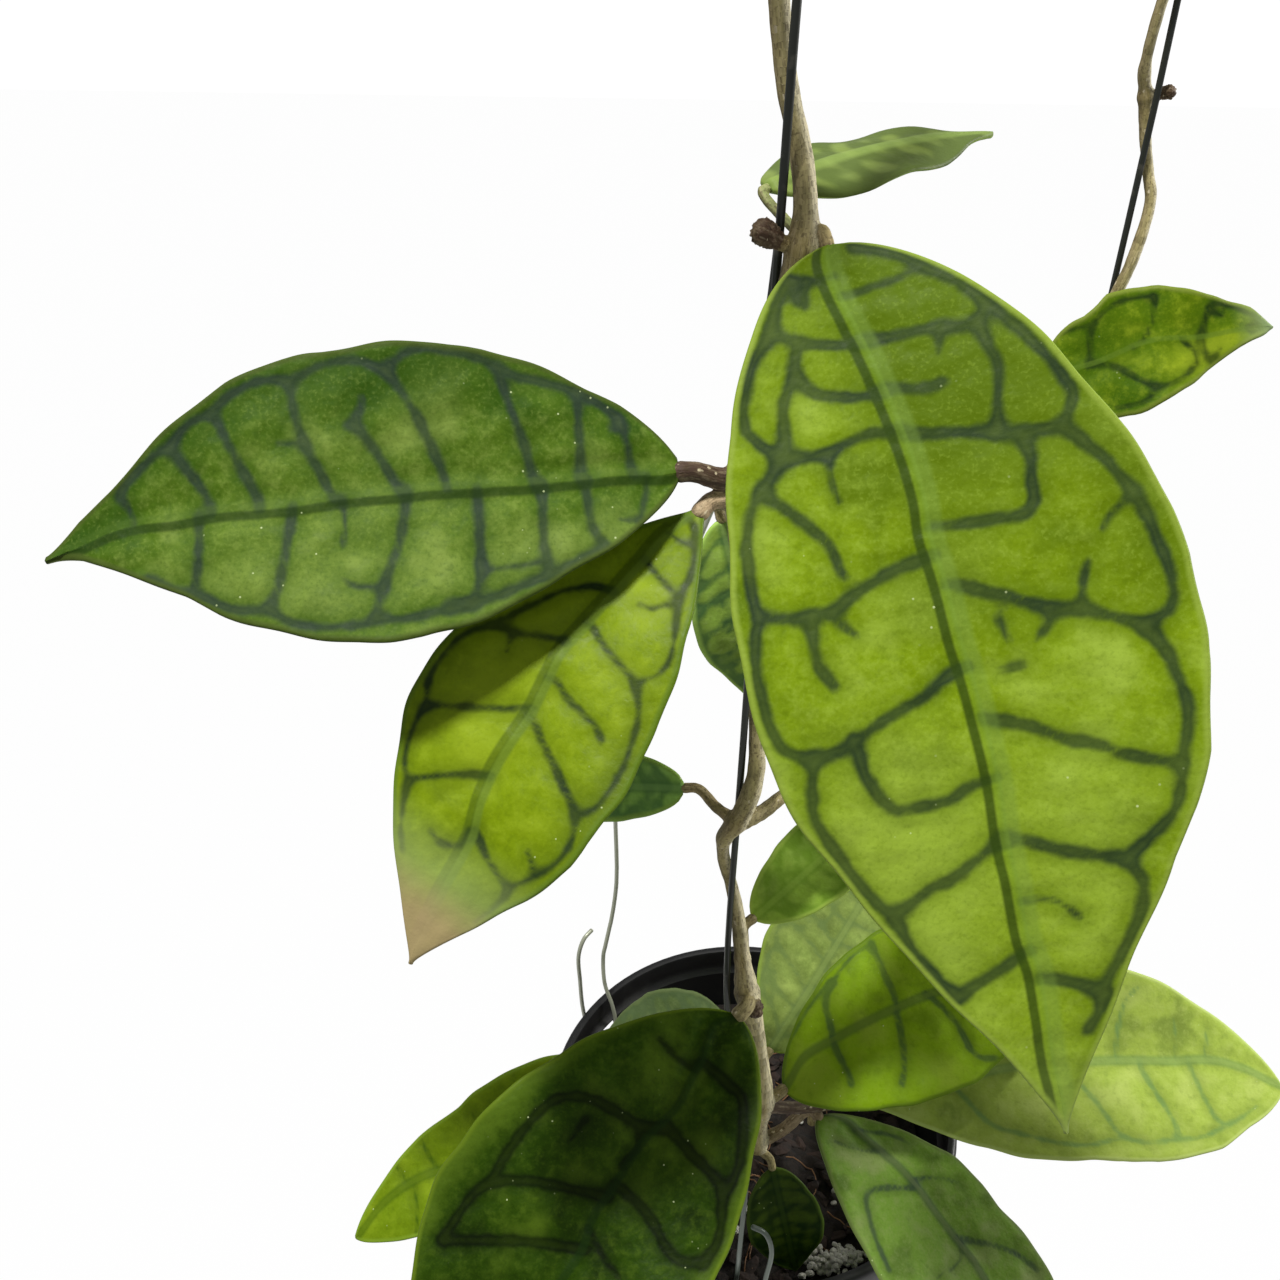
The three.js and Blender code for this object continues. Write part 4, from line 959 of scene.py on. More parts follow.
# Old hoya bark: dull tan cork, streaked lengthways in cream and brown, with pale lenticels. The
# grain is read in millimetres round and along the stem: streaks 1 mm wide and 6 mm long, patches
# of 6 mm, lenticels 2.4 mm apart, flecks of 0.6 mm and cracks 0.4 mm wide.
corky_bark, tree = new_material("corky_hoya_bark")
grain = add_node(tree, "Attribute", attribute_name="bark_grain").outputs["Vector"]
# bark_shade carries each limb's colour with its painted highlight and painted shade sides
shade = add_node(tree, "Attribute", attribute_name="bark_shade").outputs["Color"]
drawn = add_node(tree, "Mapping", {"Scale": (1.0, 1.0, 0.16)}, {"Vector": grain})
streak, patch, speck, crack = (
    add_node(tree, "TexNoise", {"Scale": scale, "Detail": detail, "Roughness": rough},
             {"Vector": vector}).outputs[0]
    for vector, scale, detail, rough in (
        (drawn.outputs[0], 1.1, 6, 0.65), (grain, 0.16, 3, 0.5), (grain, 1.7, 4, 0.7),
        (drawn.outputs[0], 2.4, 5, 0.5)))
pores = add_node(tree, "TexVoronoi", {"Scale": 0.42}, {"Vector": grain}).outputs["Distance"]
light = add_node(tree, "Mix", {0: 0.5, 7: linear("#d8c7a2")}, {6: shade}, data_type="RGBA").outputs[2]
deep = add_node(tree, "Mix", {0: 0.75, 7: linear("#2f2417")}, {6: shade}, data_type="RGBA").outputs[2]
colour = lay_tints(tree, shade, [
    (light, (streak, 0.48, 0.72, 0.0, 0.75)),
    (deep, (streak, 0.5, 0.28, 0.0, 0.7)),
    (linear("#5c5730"), (patch, 0.52, 0.7, 0.0, 0.45)),
    (linear("#dccfae"), (pores, 0.16, 0.1, 0.0, 0.8)),
    (linear("#4a3a1e"), (speck, 0.5, 0.36, 0.0, 0.7)),
])
bump = add_node(tree, "Bump", {"Strength": 0.7, "Distance": 0.0004}, {"Height": crack}).outputs[0]
shader = add_node(tree, "BsdfPrincipled", {"Roughness": 0.72}, {"Base Color": colour, "Normal": bump})
add_node(tree, "OutputMaterial", links={"Surface": shader.outputs[0]})
for piece in vine_pieces:
    piece.data.materials.clear()
    piece.data.materials.append(corky_bark)

# Leaves: thick, leathery blades with waved margins, each one its own piece, as it comes off its
# petiole when it is cut. The flesh is raised between the sunken veins, the midrib stands up
# between two shallow furrows, and it is a keel underneath. Thicknesses are in millimetres.
BLADE_THICKNESS = 1.4
MARGIN_THICKNESS = 0.9
MIDRIB_KEEL = 0.9
MIDRIB_RISE = 0.45
FURROW_DEPTH = 0.4
CUSHION_RISE = 0.30
VEIN_DEPTH = 0.16
# how softly veins widen into each other where they meet
VEIN_WEB = 0.75
# Veins are lines on the blade: half width in tenths of a millimetre, then places u,v with u in
# thousandths of the length and v in hundredths of the half width, positive to the left. A blade's
# first line is its midrib. The blades that aren't named, and the parts that aren't drawn, have
# veins grown by rule, except on those that are drawn whole.
DRAWN_WHOLE = ("leaf_01", "leaf_02", "leaf_03")
VEINS = {
    "leaf_01": [
        "7,18 82,6 130,1 197,-2 257,-3 310,-2 343,1 397,0 453,1 503,0 555,0 617,0 671,3 723,3 "
        "785,5 822,0 871,3 920,9",
        "6 62,7 62,-10 63,-44 59,-71 53,-83",
        "10 12,-57 31,-85 54,-83 81,-92 117,-90 145,-92 178,-92 216,-92 241,-91 266,-78 "
        "269,-77",
        "10 119,2 118,-6 124,-24 124,-43 135,-65 134,-77 121,-88",
        "10 137,-75 164,-69 184,-68 217,-57 253,-48 256,-47",
        "10 179,-1 178,-10 187,-18 189,-27 186,-35",
        "6 128,-52 141,-47 154,-41",
        "10 231,-3 231,-7 240,-23 255,-46 265,-55 266,-67 269,-77 287,-81 309,-85 341,-89 "
        "352,-90 385,-92 413,-92 429,-92 459,-92 480,-89 488,-79 493,-76",
        "10 265,-57 270,-57 289,-57 311,-52 335,-50 349,-44 345,-33 341,-18 337,-7 334,0",
        "6 357,-90 358,-88 369,-78 383,-72",
        "10 399,0 399,-4 415,-16 431,-28 451,-40 457,-53 474,-64 486,-74 507,-80 529,-84 "
        "556,-87 584,-91 611,-90 635,-89 657,-91 679,-91 695,-84 718,-70 721,-67",
        "6 451,-40 467,-38 477,-31",
        "6 447,-18 473,-20",
        "6 413,-61 440,-55 457,-53",
        "6 500,-22 500,-13",
        "10 545,-1 555,-13 569,-25 588,-36 596,-49 613,-60 624,-74 635,-88",
        "10 675,3 675,-2 687,-15 700,-33 712,-52 718,-66 736,-76 750,-83 776,-87 807,-85 "
        "834,-78 852,-73 875,-79 890,-64",
        "6 742,3 742,-10 749,-23 770,-39",
        "10 826,0 826,-3 835,-29 846,-56 856,-75",
        "10 29,80 57,82 85,77 101,87 133,90 174,88 195,80 221,65",
        "10 221,65 240,71 256,80 278,84 300,86 327,87 366,87 382,85 406,89 438,92 475,92 "
        "508,92 529,89 543,79",
        "10 543,79 569,84 602,92 624,92 636,92 663,92 690,92 712,90 725,87 752,90 778,92 "
        "803,92 824,89",
        "6 37,8 37,16 34,49 29,80",
        "6 34,50 39,48 50,52 67,43 54,57",
        "6 30,71 37,66 54,57 53,50",
        "10 118,2 119,6 112,27 104,47 83,77",
        "10 100,52 104,53 137,54 160,43 172,27 179,10 177,-1",
        "10 137,54 152,61 182,63 217,62 222,62",
        "10 221,-2 222,6 219,14 224,29 230,39 226,53 221,65",
        "6 233,39 261,40 283,38",
        "10 251,77 269,69 289,59 316,49 330,46 359,44",
        "10 364,1 365,6 368,18 377,32 388,44 398,53 395,64 391,76 382,85",
        "10 396,62 401,62 428,64 453,64 473,59",
        "6 398,53 408,51 427,44",
        "10 488,0 489,5 497,15 511,26 519,41 532,55 540,65 543,79",
        "10 535,59 545,58 573,60 600,58 621,52 618,38 621,26 610,14 609,3 609,0",
        "10 673,3 673,6 687,21 701,39 707,59 717,71 725,87",
        "10 795,4 796,10 806,31 817,58 824,89"],
    "leaf_02": [
        "0,-27 60,-8 165,-10 268,-10 368,-7 468,-6 526,-4 594,-5 661,-2 728,3 797,5 855,18 "
        "901,22 938,18",
        "8 75,-8 76,4 76,41 81,65 85,77 82,69",
        "4 82,69 101,56 80,71",
        "8 159,-10 159,-6 151,37 149,62 143,92",
        "8 232,-10 232,-5 238,23 246,43 254,60 260,74 260,86 285,90 317,91 359,91 392,90 "
        "429,79 433,76",
        "8 367,-7 367,-3 379,21 395,43 409,58 430,75 462,82 463,83 496,86 530,86 584,81",
        "8 440,-6 440,-2 463,19 481,36 494,43 481,52 475,59",
        "4 494,43 511,41 494,41",
        "8 542,-4 542,-2 557,17 572,33 579,52 584,67 584,81 606,86 640,91 674,92 708,88",
        "4 574,38 587,38 613,41",
        "8 654,-2 653,1 667,23 682,44 693,65 708,87 739,92 758,92 779,83",
        "8 728,3 727,6 741,31 755,48 768,69 782,85 806,92 833,92 862,92 868,81",
        "5 851,18 852,37 868,81 862,92",
        "8 260,86 229,82 143,92 84,88 85,77",
        "5 53,-8 53,-19 65,-65 77,-92",
        "4 77,-90 107,-72",
        "8 153,-10 152,-16 157,-49 151,-71 139,-92",
        "8 221,-10 221,-15 229,-44 232,-69 227,-87 228,-92",
        "5 332,-71 322,-72 285,-74 238,-79 229,-80",
        "8 322,-8 322,-11 326,-37 331,-61 333,-74 351,-92 381,-92 418,-92 459,-92 495,-88",
        "4 357,-92 358,-89 390,-86 388,-92",
        "8 351,-92 328,-92 228,-92 139,-92",
        "8 429,-6 429,-9 440,-28 455,-47 476,-63 489,-77 495,-88 514,-92 547,-92 579,-92 "
        "627,-90 655,-81",
        "5 483,-70 495,-68 524,-66 542,-59",
        "5 527,-4 527,-9 527,-23 534,-36",
        "8 603,-5 604,-7 615,-25 625,-46 639,-66 655,-81 692,-86 725,-86 769,-78",
        "8 749,3 749,-1 753,-28 757,-51 769,-78 805,-80 838,-75"],
    "leaf_03": [
        "0,48 57,33 135,17 212,14 288,14 363,16 426,10 488,6 561,7 621,8 685,4 733,-4 782,-5",
        "3 67,29 67,16 67,-41 60,-65 57,-76",
        "6 21,41 26,-51 57,-76 112,-86 164,-70 202,-80 255,-86 297,-83 336,-64 342,-62",
        "6 134,17 134,11 150,-25 161,-60 164,-70",
        "3 213,-24 211,-42 190,-54 175,-73",
        "6 295,14 297,3 317,-16 328,-41 342,-62 390,-77 445,-81 491,-84 542,-84 579,-82 "
        "599,-73",
        "6 417,11 414,2 433,-14 439,-34 450,-50 464,-58",
        "6 499,6 499,0 529,-21 558,-42 582,-61 599,-73 637,-85 688,-91 728,-87 775,-77",
        "6 731,-4 729,-7 751,-28 770,-56 775,-77 808,-86 863,-92",
        "2 702,-62 728,-84",
        "6 346,16 344,23 364,42 383,60 390,79 438,92 490,92 546,91 583,84",
        "2 383,60 418,53",
        "6 219,14 218,20 227,42 267,60 322,68 390,79",
        "6 481,6 482,11 514,28 540,50 564,68 583,84 644,89 693,90 716,82",
        "6 626,7 654,32 690,58 716,82 758,84 799,87 830,84",
        "6 740,-3 771,4 781,28 772,43"],
    "leaf_05": [
        "61,0 199,6 314,0 415,-8 526,-4 656,8 839,5",
        "6 183,5 184,1 199,-50 243,-70 321,-82 450,-82 503,-81",
        "6 366,-4 369,1 431,-12 476,-36 503,-81",
        "6 171,5 251,13 322,35 378,57 429,75 506,78 588,71 628,61 630,34 579,4",
        "6 429,75 384,92 302,92 250,92",
        "3 217,-58 204,-63 123,-76 76,-92"],
    "leaf_10": [
        "90,-36 217,-20 328,-15 437,-12 584,-10",
        "7 303,-84 249,-76 235,-35 217,-20 222,39 212,55",
        "7 491,-92 486,-54 481,-23 465,-8 415,48 367,74",
        "7 586,-10 586,-12 634,27 626,75 694,92",
        "4 303,-84 380,-91 491,-92",
        "4 285,-81 275,-89 97,-92 0,-92 7,-10"],
    "leaf_11": [
        "243,20 327,5 401,3 538,2 660,-1 749,-4 848,-18 928,-20",
        "6 619,0 626,-26 651,-64 688,-83",
        "2 758,-6 766,-60",
        "2 824,-16 842,-67",
        "6 245,19 249,31 311,76 379,78 468,84 539,83 598,77",
        "6 530,25 568,49 598,77 668,85 726,85",
        "6 671,-1 672,10 708,44 737,76 726,85 790,91 835,85",
        "6 786,-8 788,0 807,42 835,85 879,84 928,71"],
    "leaf_12": [
        "0,-92 103,-46 195,-43 264,-40 350,-30 424,-29 501,-29",
        "4 169,-43 167,-52 129,-16 69,30",
        "7 276,-38 275,-33 226,6 199,44 247,63 303,75 365,81",
        "4 448,-29 478,-14 456,29",
        "4 79,-44 76,-55 140,-92 189,-92",
        "4 257,-40 285,-71 347,-92",
        "7 424,-29 484,-57 548,-82 613,-92"],
    "leaf_13": [
        "29,36 102,-1 206,-12 308,-4 404,-6 473,-5 529,-12",
        "6 135,-5 136,-1 136,28 125,57",
        "9 252,-15 281,-1 284,20 289,46 311,65 340,72 422,71 524,66",
        "9 423,-6 423,-9 452,20 484,46 521,64 566,72 622,75 669,79",
        "9 528,-12 526,-14 563,15 605,40 651,67 669,79",
        "6 282,3 294,3 319,-5 365,0 364,-5",
        "5 330,42 382,40",
        "9 115,-3 112,-11 121,-50 119,-73 186,-86 261,-87 291,-81",
        "9 255,-13 266,-45 276,-76 291,-81 357,-91 414,-87",
        "9 396,-6 395,-13 404,-40 428,-55 440,-70 414,-87",
        "6 492,-7 516,-27 527,-42"],
    "leaf_14": [
        "653,-3 735,16 825,32 923,43",
        "3 735,16 733,20 751,61 756,92",
        "3 572,-2 572,11 591,50 609,78",
        "2 398,52 422,76",
        "3 801,24 812,-36 829,-92",
        "2 824,32 823,37 839,92"],
}
# each blade's colours: its cells' usual, pale and deep green, its veins, its margin line and its
# underside; then those of the young blades at the tips, and of all others
LEAF_COLOURS = {
    "leaf_01": ("#769006", "#92ab3c", "#526a00", "#22341e", "#879d3a", "#85993e"),
    "leaf_02": ("#4b6712", "#7b9040", "#2a4a02", "#28382a", "#43521d", "#79894a"),
    "leaf_03": ("#718804", "#8ca21f", "#51660a", "#152719", "#58711d", "#7f933c"),
    "leaf_04": ("#62792f", "#849658", "#475722", "#2a3c1a", "#8da555", "#74863f"),
    "leaf_05": ("#567103", "#9aad26", "#3c5c06", "#1b300e", "#758531", "#798e40"),
    # leaf_06, leaf_07 and leaf_09 are brightened beyond their own green: painted light where leaves shade
    # them
    "leaf_06": ("#aed45a", "#c6e284", "#6b8432", "#4c7040", "#a4c860", "#96b265"),
    "leaf_07": ("#98c660", "#b2dc80", "#6d9040", "#4c7240", "#86a648", "#8aa76b"),
    "leaf_08": ("#5a7c12", "#7a9a30", "#41590d", "#2a4420", "#6c8c30", "#87a05a"),
    "leaf_09": ("#a3ca46", "#bcdd65", "#759238", "#71952b", "#a3c051", "#a4bf5c"),
    "leaf_10": ("#7ea010", "#869f2c", "#5c780d", "#435c2a", "#5a7418", "#8ea954"),
    "leaf_11": ("#9cb249", "#b0c164", "#768a3a", "#6c8c4c", "#b5c870", "#a2b579"),
    "leaf_12": ("#67882f", "#7e8c54", "#4a6222", "#334430", "#607139", "#86a262"),
    # leaf_13 is its own dark green darkened further: painted shade under the leaves above it
    "leaf_13": ("#263f00", "#4c6414", "#132400", "#081400", "#5c7218", "#57772b"),
    "leaf_14": ("#698309", "#7f9719", "#4f6408", "#395605", "#7a9729", "#869c55"),
    "leaf_15": ("#5c703e", "#7c8c5a", "#42512d", "#4d603c", "#596840", "#6e8656"),
    "leaf_16": ("#445a15", "#5c7624", "#31410f", "#122c0c", "#475b20", "#5c7532"),
    "leaf_17": ("#788c43", "#9aad5a", "#566530", "#5e723c", "#778d35", "#8c9d5f"),
}
YOUNG_COLOURS = ("#7f9a3c", "#9fae58", "#6a6a2c", "#5a5a2e", "#a5743c", "#9aa566")
OTHER_COLOURS = ("#6f9426", "#8fae4a", "#4c7512", "#36502f", "#8aab3c", "#8ba457")


def drawn_veins(rows):
    """Vein lines from their text: half width in millimetres, and points of u and v."""
    lines = []
    for text in rows:
        words = text.split()
        width = float(words[0]) / 10 if "," not in words[0] else 0.0
        points = [[float(n) for n in w.split(",")] for w in words if "," in w]
        lines.append((width, np.array(points) * (0.001, 0.01)))
    return lines


def grown_veins(chance, start, end):
    """Vein lines from start to end of a blade where none are drawn: laterals that loop together."""
    lines = []
    count = max(2, round((end - start) * 9) - (start > 0.4))
    for side in (-1, 1):
        feet = np.linspace(start + 0.05, end - 0.08, count) + chance.normal(0, 0.012, count)
        ends = []
        for u in feet:
            reach = chance.uniform(0.76, 0.88)
            lean = chance.uniform(0.03, 0.09)
            bend = chance.normal(0, 0.012)
            lateral = [(u, 0.02 * side), (u + lean * 0.3 + bend, 0.34 * side),
                       (u + lean * 0.75 + bend, 0.62 * side), (u + lean, reach * side)]
            ends.append(lateral[-1])
            lines.append((0.6, np.array(lateral)))
            if chance.uniform() < 0.7:
                at = np.array(lateral[int(chance.integers(1, 3))])
                spur = [at, at + (chance.uniform(0.02, 0.045), chance.normal(0, 0.08)),
                        at + (chance.uniform(0.045, 0.07), chance.normal(0, 0.12))]
                lines.append((0.3, np.array(spur)))
        for a, b in zip(ends, ends[1:]):
            bulge = min(0.93, max(abs(a[1]), abs(b[1])) + chance.uniform(0.03, 0.08)) * side
            lines.append((0.6, np.array([a, (a[0] * 0.65 + b[0] * 0.35, bulge),
                                         (a[0] * 0.3 + b[0] * 0.7, bulge), b])))
    return lines


def rounded(points):
    """A line with its corners cut twice, its ends kept."""
    for _ in range(2):
        near = points[:-1] * 0.75 + points[1:] * 0.25
        far = points[:-1] * 0.25 + points[1:] * 0.75
        points = np.vstack([points[:1], np.stack([near, far], 1).reshape(-1, 2), points[-1:]])
    return points


def distance_to(points, line, width, taper):
    """How far each flat point is from a line's edge, in millimetres, negative inside."""
    best = np.full(len(points), 1e9)
    for k, (a, b) in enumerate(zip(line, line[1:])):
        along = b - a
        t = np.clip(((points - a) @ along) / max(along @ along, 1e-9), 0, 1)
        here = width * (1 - taper * (k + t) / (len(line) - 1))
        best = np.minimum(best, np.linalg.norm(points - a - t[:, None] * along, axis=1) - here)
    return best


def mix_of(a, b, share):
    """A colour between two linear colours."""
    return tuple(p + (q - p) * share for p, q in zip(a, b))


def blade_material(name, colours, tip=None, matt=0.0, rib_look=()):
    """Leathery hoya leaf: mottled green cells between dark, slightly blue veins, a pale midrib
    and margin line, sparse pale scurf, and a soft waxy sheen. The underside is paler and plain."""
    usual, pale, deep, vein, margin, under = (linear(c) for c in colours)
    material, tree = new_material(name)
    place = add_node(tree, "TexCoord").outputs["Object"]
    vein_mm, rib_mm, edge_mm, upper, along, painted_light_shade = (
        add_node(tree, "Attribute", attribute_name=key).outputs["Fac"]
        for key in ("vein_mm", "rib_mm", "edge_mm", "upper", "along", "painted_light_shade"))
    # broad patches of 13 mm, wrinkles of 4 mm, a mottle of 2.4 mm, the skin's grain of 0.7 mm,
    # and flecks of scurf 3 mm apart in crowds of 26 mm
    broad, wrinkles, mottle, skin, crowd = (
        add_node(tree, "TexNoise", {"Scale": scale, "Detail": detail, "Roughness": rough},
                 {"Vector": place}).outputs[0]
        for scale, detail, rough in (
            (75, 3, 0.5), (260, 2, 0.5), (420, 5, 0.6), (1500, 4, 0.5), (38, 2, 0.5)))
    flecks = add_node(tree, "TexVoronoi", {"Scale": 330}, {"Vector": place}).outputs["Distance"]

    # the veins' edges waver a little; the midrib has bands where they were seen, on leaf_01 painted
    # shade and a painted highlight on the two sides of its ridge
    shift = add_node(tree, "MapRange", {1: 0.2, 2: 0.8, 3: -0.45, 4: 0.45}, {0: wrinkles}).outputs[0]
    uneven = add_node(tree, "Math", links={0: vein_mm, 1: shift}, operation="ADD").outputs[0]
    far_rib = add_node(tree, "Math", links={0: rib_mm}, operation="ABSOLUTE").outputs[0]
    grain = 0.14 + matt
    tints = [
        (pale, (broad, 0.5, 0.72, 0.0, 0.8)),
        (deep, (broad, 0.48, 0.28, 0.0, 0.8)),
        (pale, (mottle, 0.45, 0.75, 0.0, 0.45)),
        (deep, (mottle, 0.5, 0.25, 0.0, 0.4)),
        # painted light and painted shade in patches set per blade
        (pale, (painted_light_shade, 0.0, 1.0, 0.0, 1.0)),
        (deep, (painted_light_shade, 0.0, -1.0, 0.0, 1.0)),
        (pale, (skin, 0.5, 0.72, 0.0, grain)),
        (deep, (skin, 0.5, 0.28, 0.0, grain)),
        (deep, (uneven, 0.2, 3.0, 0.36, 0.0)),
        (vein, (uneven, -0.5, 0.7, 0.97, 0.0), (broad, 0.3, 0.6, 1.0, 0.8)),
        (mix_of(vein, pale, 0.3), (uneven, -1.4, -0.3, 0.35, 0.0)),
    ]
    # on leaf_01 these bands are painted shade and painted highlight beside the midrib's ridge
    for at, wide, share, tint in rib_look:
        off = add_node(tree, "Math", {1: at}, {0: rib_mm}, operation="SUBTRACT").outputs[0]
        off = add_node(tree, "Math", links={0: off}, operation="ABSOLUTE").outputs[0]
        tints.append((linear(tint), (off, wide * 0.4, wide, share, 0.0)))
    if not rib_look:
        tints += [(vein, (far_rib, 0.7, 2.1, 0.6, 0.0)),
                  (mix_of(vein, pale, 0.5), (far_rib, 0.4, 1.1, 0.4, 0.0))]
    tints += [(margin, (edge_mm, 0.5, 1.5, 0.85, 0.0)),
              (linear("#c9d6a0"), (flecks, 0.085, 0.04, 0.0, 0.7), (crowd, 0.5, 0.62, 0.0, 1.0))]
    if tip:
        dry, start, dulled = tip
        tints += [(linear("#93a564"), (along, start - 0.1, start + 0.03, 0.0, dulled)),
                  (linear(dry), (along, start, start + 0.1, 0.0, 0.8), (broad, 0.25, 0.5, 0.75, 1.0))]
    face = lay_tints(tree, usual, tints, "SMOOTHSTEP")
    back = lay_tints(tree, under, [
        (pale, (broad, 0.35, 0.65, 0.0, 0.5)),
        (vein, (vein_mm, 0.0, 1.4, 0.55, 0.0)),
        (margin, (far_rib, 0.8, 2.0, 0.5, 0.0))], "SMOOTHSTEP")
    colour = add_node(tree, "Mix", links={0: upper, 6: back, 7: face}, data_type="RGBA").outputs[2]

    rough = add_node(tree, "MapRange", {1: 0.3, 2: 0.7, 3: 0.40 + matt, 4: 0.56 + matt}, {0: mottle},
                     interpolation_type="SMOOTHSTEP").outputs[0]
    bump = add_node(tree, "Bump", {"Strength": 0.25 + 2 * matt, "Distance": 0.0009},
                    {"Height": wrinkles}).outputs[0]
    for height, strength, depth in ((mottle, 0.3, 0.0004), (skin, 0.22, 0.0002)):
        bump = add_node(tree, "Bump", {"Strength": strength, "Distance": depth},
                        {"Height": height, "Normal": bump}).outputs[0]
    shader = add_node(
        tree, "BsdfPrincipled",
        {"IOR": 1.45, "Specular IOR Level": 0.11, "Sheen Weight": matt / 2.5, "Sheen Roughness": 0.45,
         "Sheen Tint": linear("#dfe8cf")},
        {"Base Color": colour, "Roughness": rough, "Normal": bump})
    add_node(tree, "OutputMaterial", links={"Surface": shader.outputs[0]})
    return material


# paler (+) and deeper (-) patches of a blade, most of them painted light and painted shade, some
# the blade's own tone, and leaf_13's small pale ones painted sheen: middle u and v, their radii,
# and how strong
PAINTED_LIGHT_PATCHES = {
    "leaf_01": ((0.12, -0.6, 0.2, 0.6, -1.0), (0.02, 0.3, 0.1, 0.8, -0.5),
                (0.38, -0.95, 0.12, 0.25, -0.5), (0.2, -0.1, 0.2, 0.4, -0.5),
                (0.42, 0.1, 0.08, 0.3, -0.5), (0.45, -0.5, 0.05, 0.4, -0.4), (0.75, 0, 0.3, 1, 0.3),
                (0.62, 0.5, 0.12, 0.4, 0.4), (0.7, -0.5, 0.12, 0.4, 0.3), (0.78, 0.8, 0.12, 0.3, 0.5),
                (0.97, 0, 0.06, 1, 0.5)),
    "leaf_02": ((0.45, 0.8, 0.35, 0.35, -0.7), (0.5, -0.1, 0.4, 0.3, 0.3), (0.65, -0.7, 0.25, 0.3, 0.5),
                (0.95, 0.1, 0.1, 0.8, -1.0), (0.1, -0.4, 0.1, 0.5, -0.5), (0.25, -0.7, 0.12, 0.3, 0.5)),
    "leaf_03": ((0.85, -0.4, 0.15, 0.5, -0.5), (0.55, -0.9, 0.2, 0.25, -0.7), (0.6, 0.2, 0.15, 0.4, 0.4),
                (0.35, 0.6, 0.25, 0.4, 0.6), (0.2, -0.35, 0.06, 0.3, 0.9)),
    "leaf_05": ((0.7, 0.5, 0.2, 0.5, 0.9), (0.2, -0.2, 0.2, 0.8, -0.6)),
    "leaf_13": ((0.4, 0.97, 0.4, 0.12, 0.9), (0.4, -0.97, 0.4, 0.12, 0.9), (0.8, 0, 0.2, 0.8, -0.6),
                (0.25, -0.53, 0.05, 0.16, 0.8), (0.14, 0.26, 0.04, 0.14, 0.55),
                (0.09, -0.42, 0.04, 0.12, 0.5), (0.42, 0.21, 0.04, 0.12, 0.6),
                (0.55, 0.23, 0.04, 0.1, 0.9), (0.37, -0.22, 0.05, 0.14, 0.45),
                (0.34, 0.36, 0.06, 0.2, -0.6), (0.18, -0.12, 0.05, 0.2, -0.4)),
}
# bands along a midrib: millimetres to its left, half width, strength and colour; on leaf_01 the
# dark band at the left is painted shade on the ridge's side away from the light, and the pale band
# at the right a painted highlight on its lit side
RIB_LOOKS = {
    "leaf_01": ((0.2, 1.1, 0.45, "#6b8a20"), (-1.1, 1.8, 0.36, "#728f3c"), (1.75, 1.05, 0.85, "#2d420a")),
    "leaf_02": ((0.5, 1.2, 0.3, "#506a26"), (-1.1, 1.2, 0.75, "#22380c")),
    "leaf_03": ((-0.3, 1.3, 0.7, "#5c7426"), (1.2, 1.1, 0.55, "#33490f")),
    "leaf_05": ((0.0, 0.9, 0.5, "#5f7a26"),),
    "leaf_13": ((0.0, 1.5, 0.6, "#152c07"),),
}
# dry tips: colour, where along the blade they start, and how dull the blade is before them
TIPS = {"leaf_01": ("#8d9a62", 0.955, 0.1), "leaf_03": ("#a38c68", 0.82, 0.5),
        "leaf_05": ("#82986a", 0.9, 0.5)}
# how dull and grainy the skin is, how much wider the veins are than drawn, how high the relief
# stands, and the mesh's pitch in millimetres; the young blades have a colour set of their own
MATT = {"leaf_01": 0.1, "leaf_02": 0.14, "leaf_12": 0.08, "leaf_15": 0.12}
VEIN_WIDTH = {"leaf_01": 0.95, "leaf_03": 1.1, "leaf_10": 1.3, "leaf_13": 1.5}
RELIEF = {"leaf_01": 0.55, "leaf_02": 0.9, "leaf_03": 0.6}
RELIEF_PLAIN = 0.75
PITCH = {"leaf_01": 0.75, "leaf_02": 0.75, "leaf_03": 0.7, "leaf_13": 0.85}
PITCH_PLAIN = 1.1
PITCH_YOUNG = 0.7
YOUNG_LEAVES = (18, 19, 25, 26)
# veins are grown on the base or the tip of a blade where none are drawn before or beyond these
GROWN_BEFORE = 0.25
GROWN_BEYOND = 0.8
LEAF_SEED = 100


def flat_places(points, leaf, length):
    """Points of u and v on a blade laid flat, in millimetres."""
    return np.stack([points[:, 0] * length, points[:, 1] * half_width(points[:, 0], leaf)], 1)


def both_faces(values):
    """Values of the upper face, with the same for the lower face and the closing row."""
    return np.concatenate([values, values[:, ::-1], values[:, :1]], axis=1)


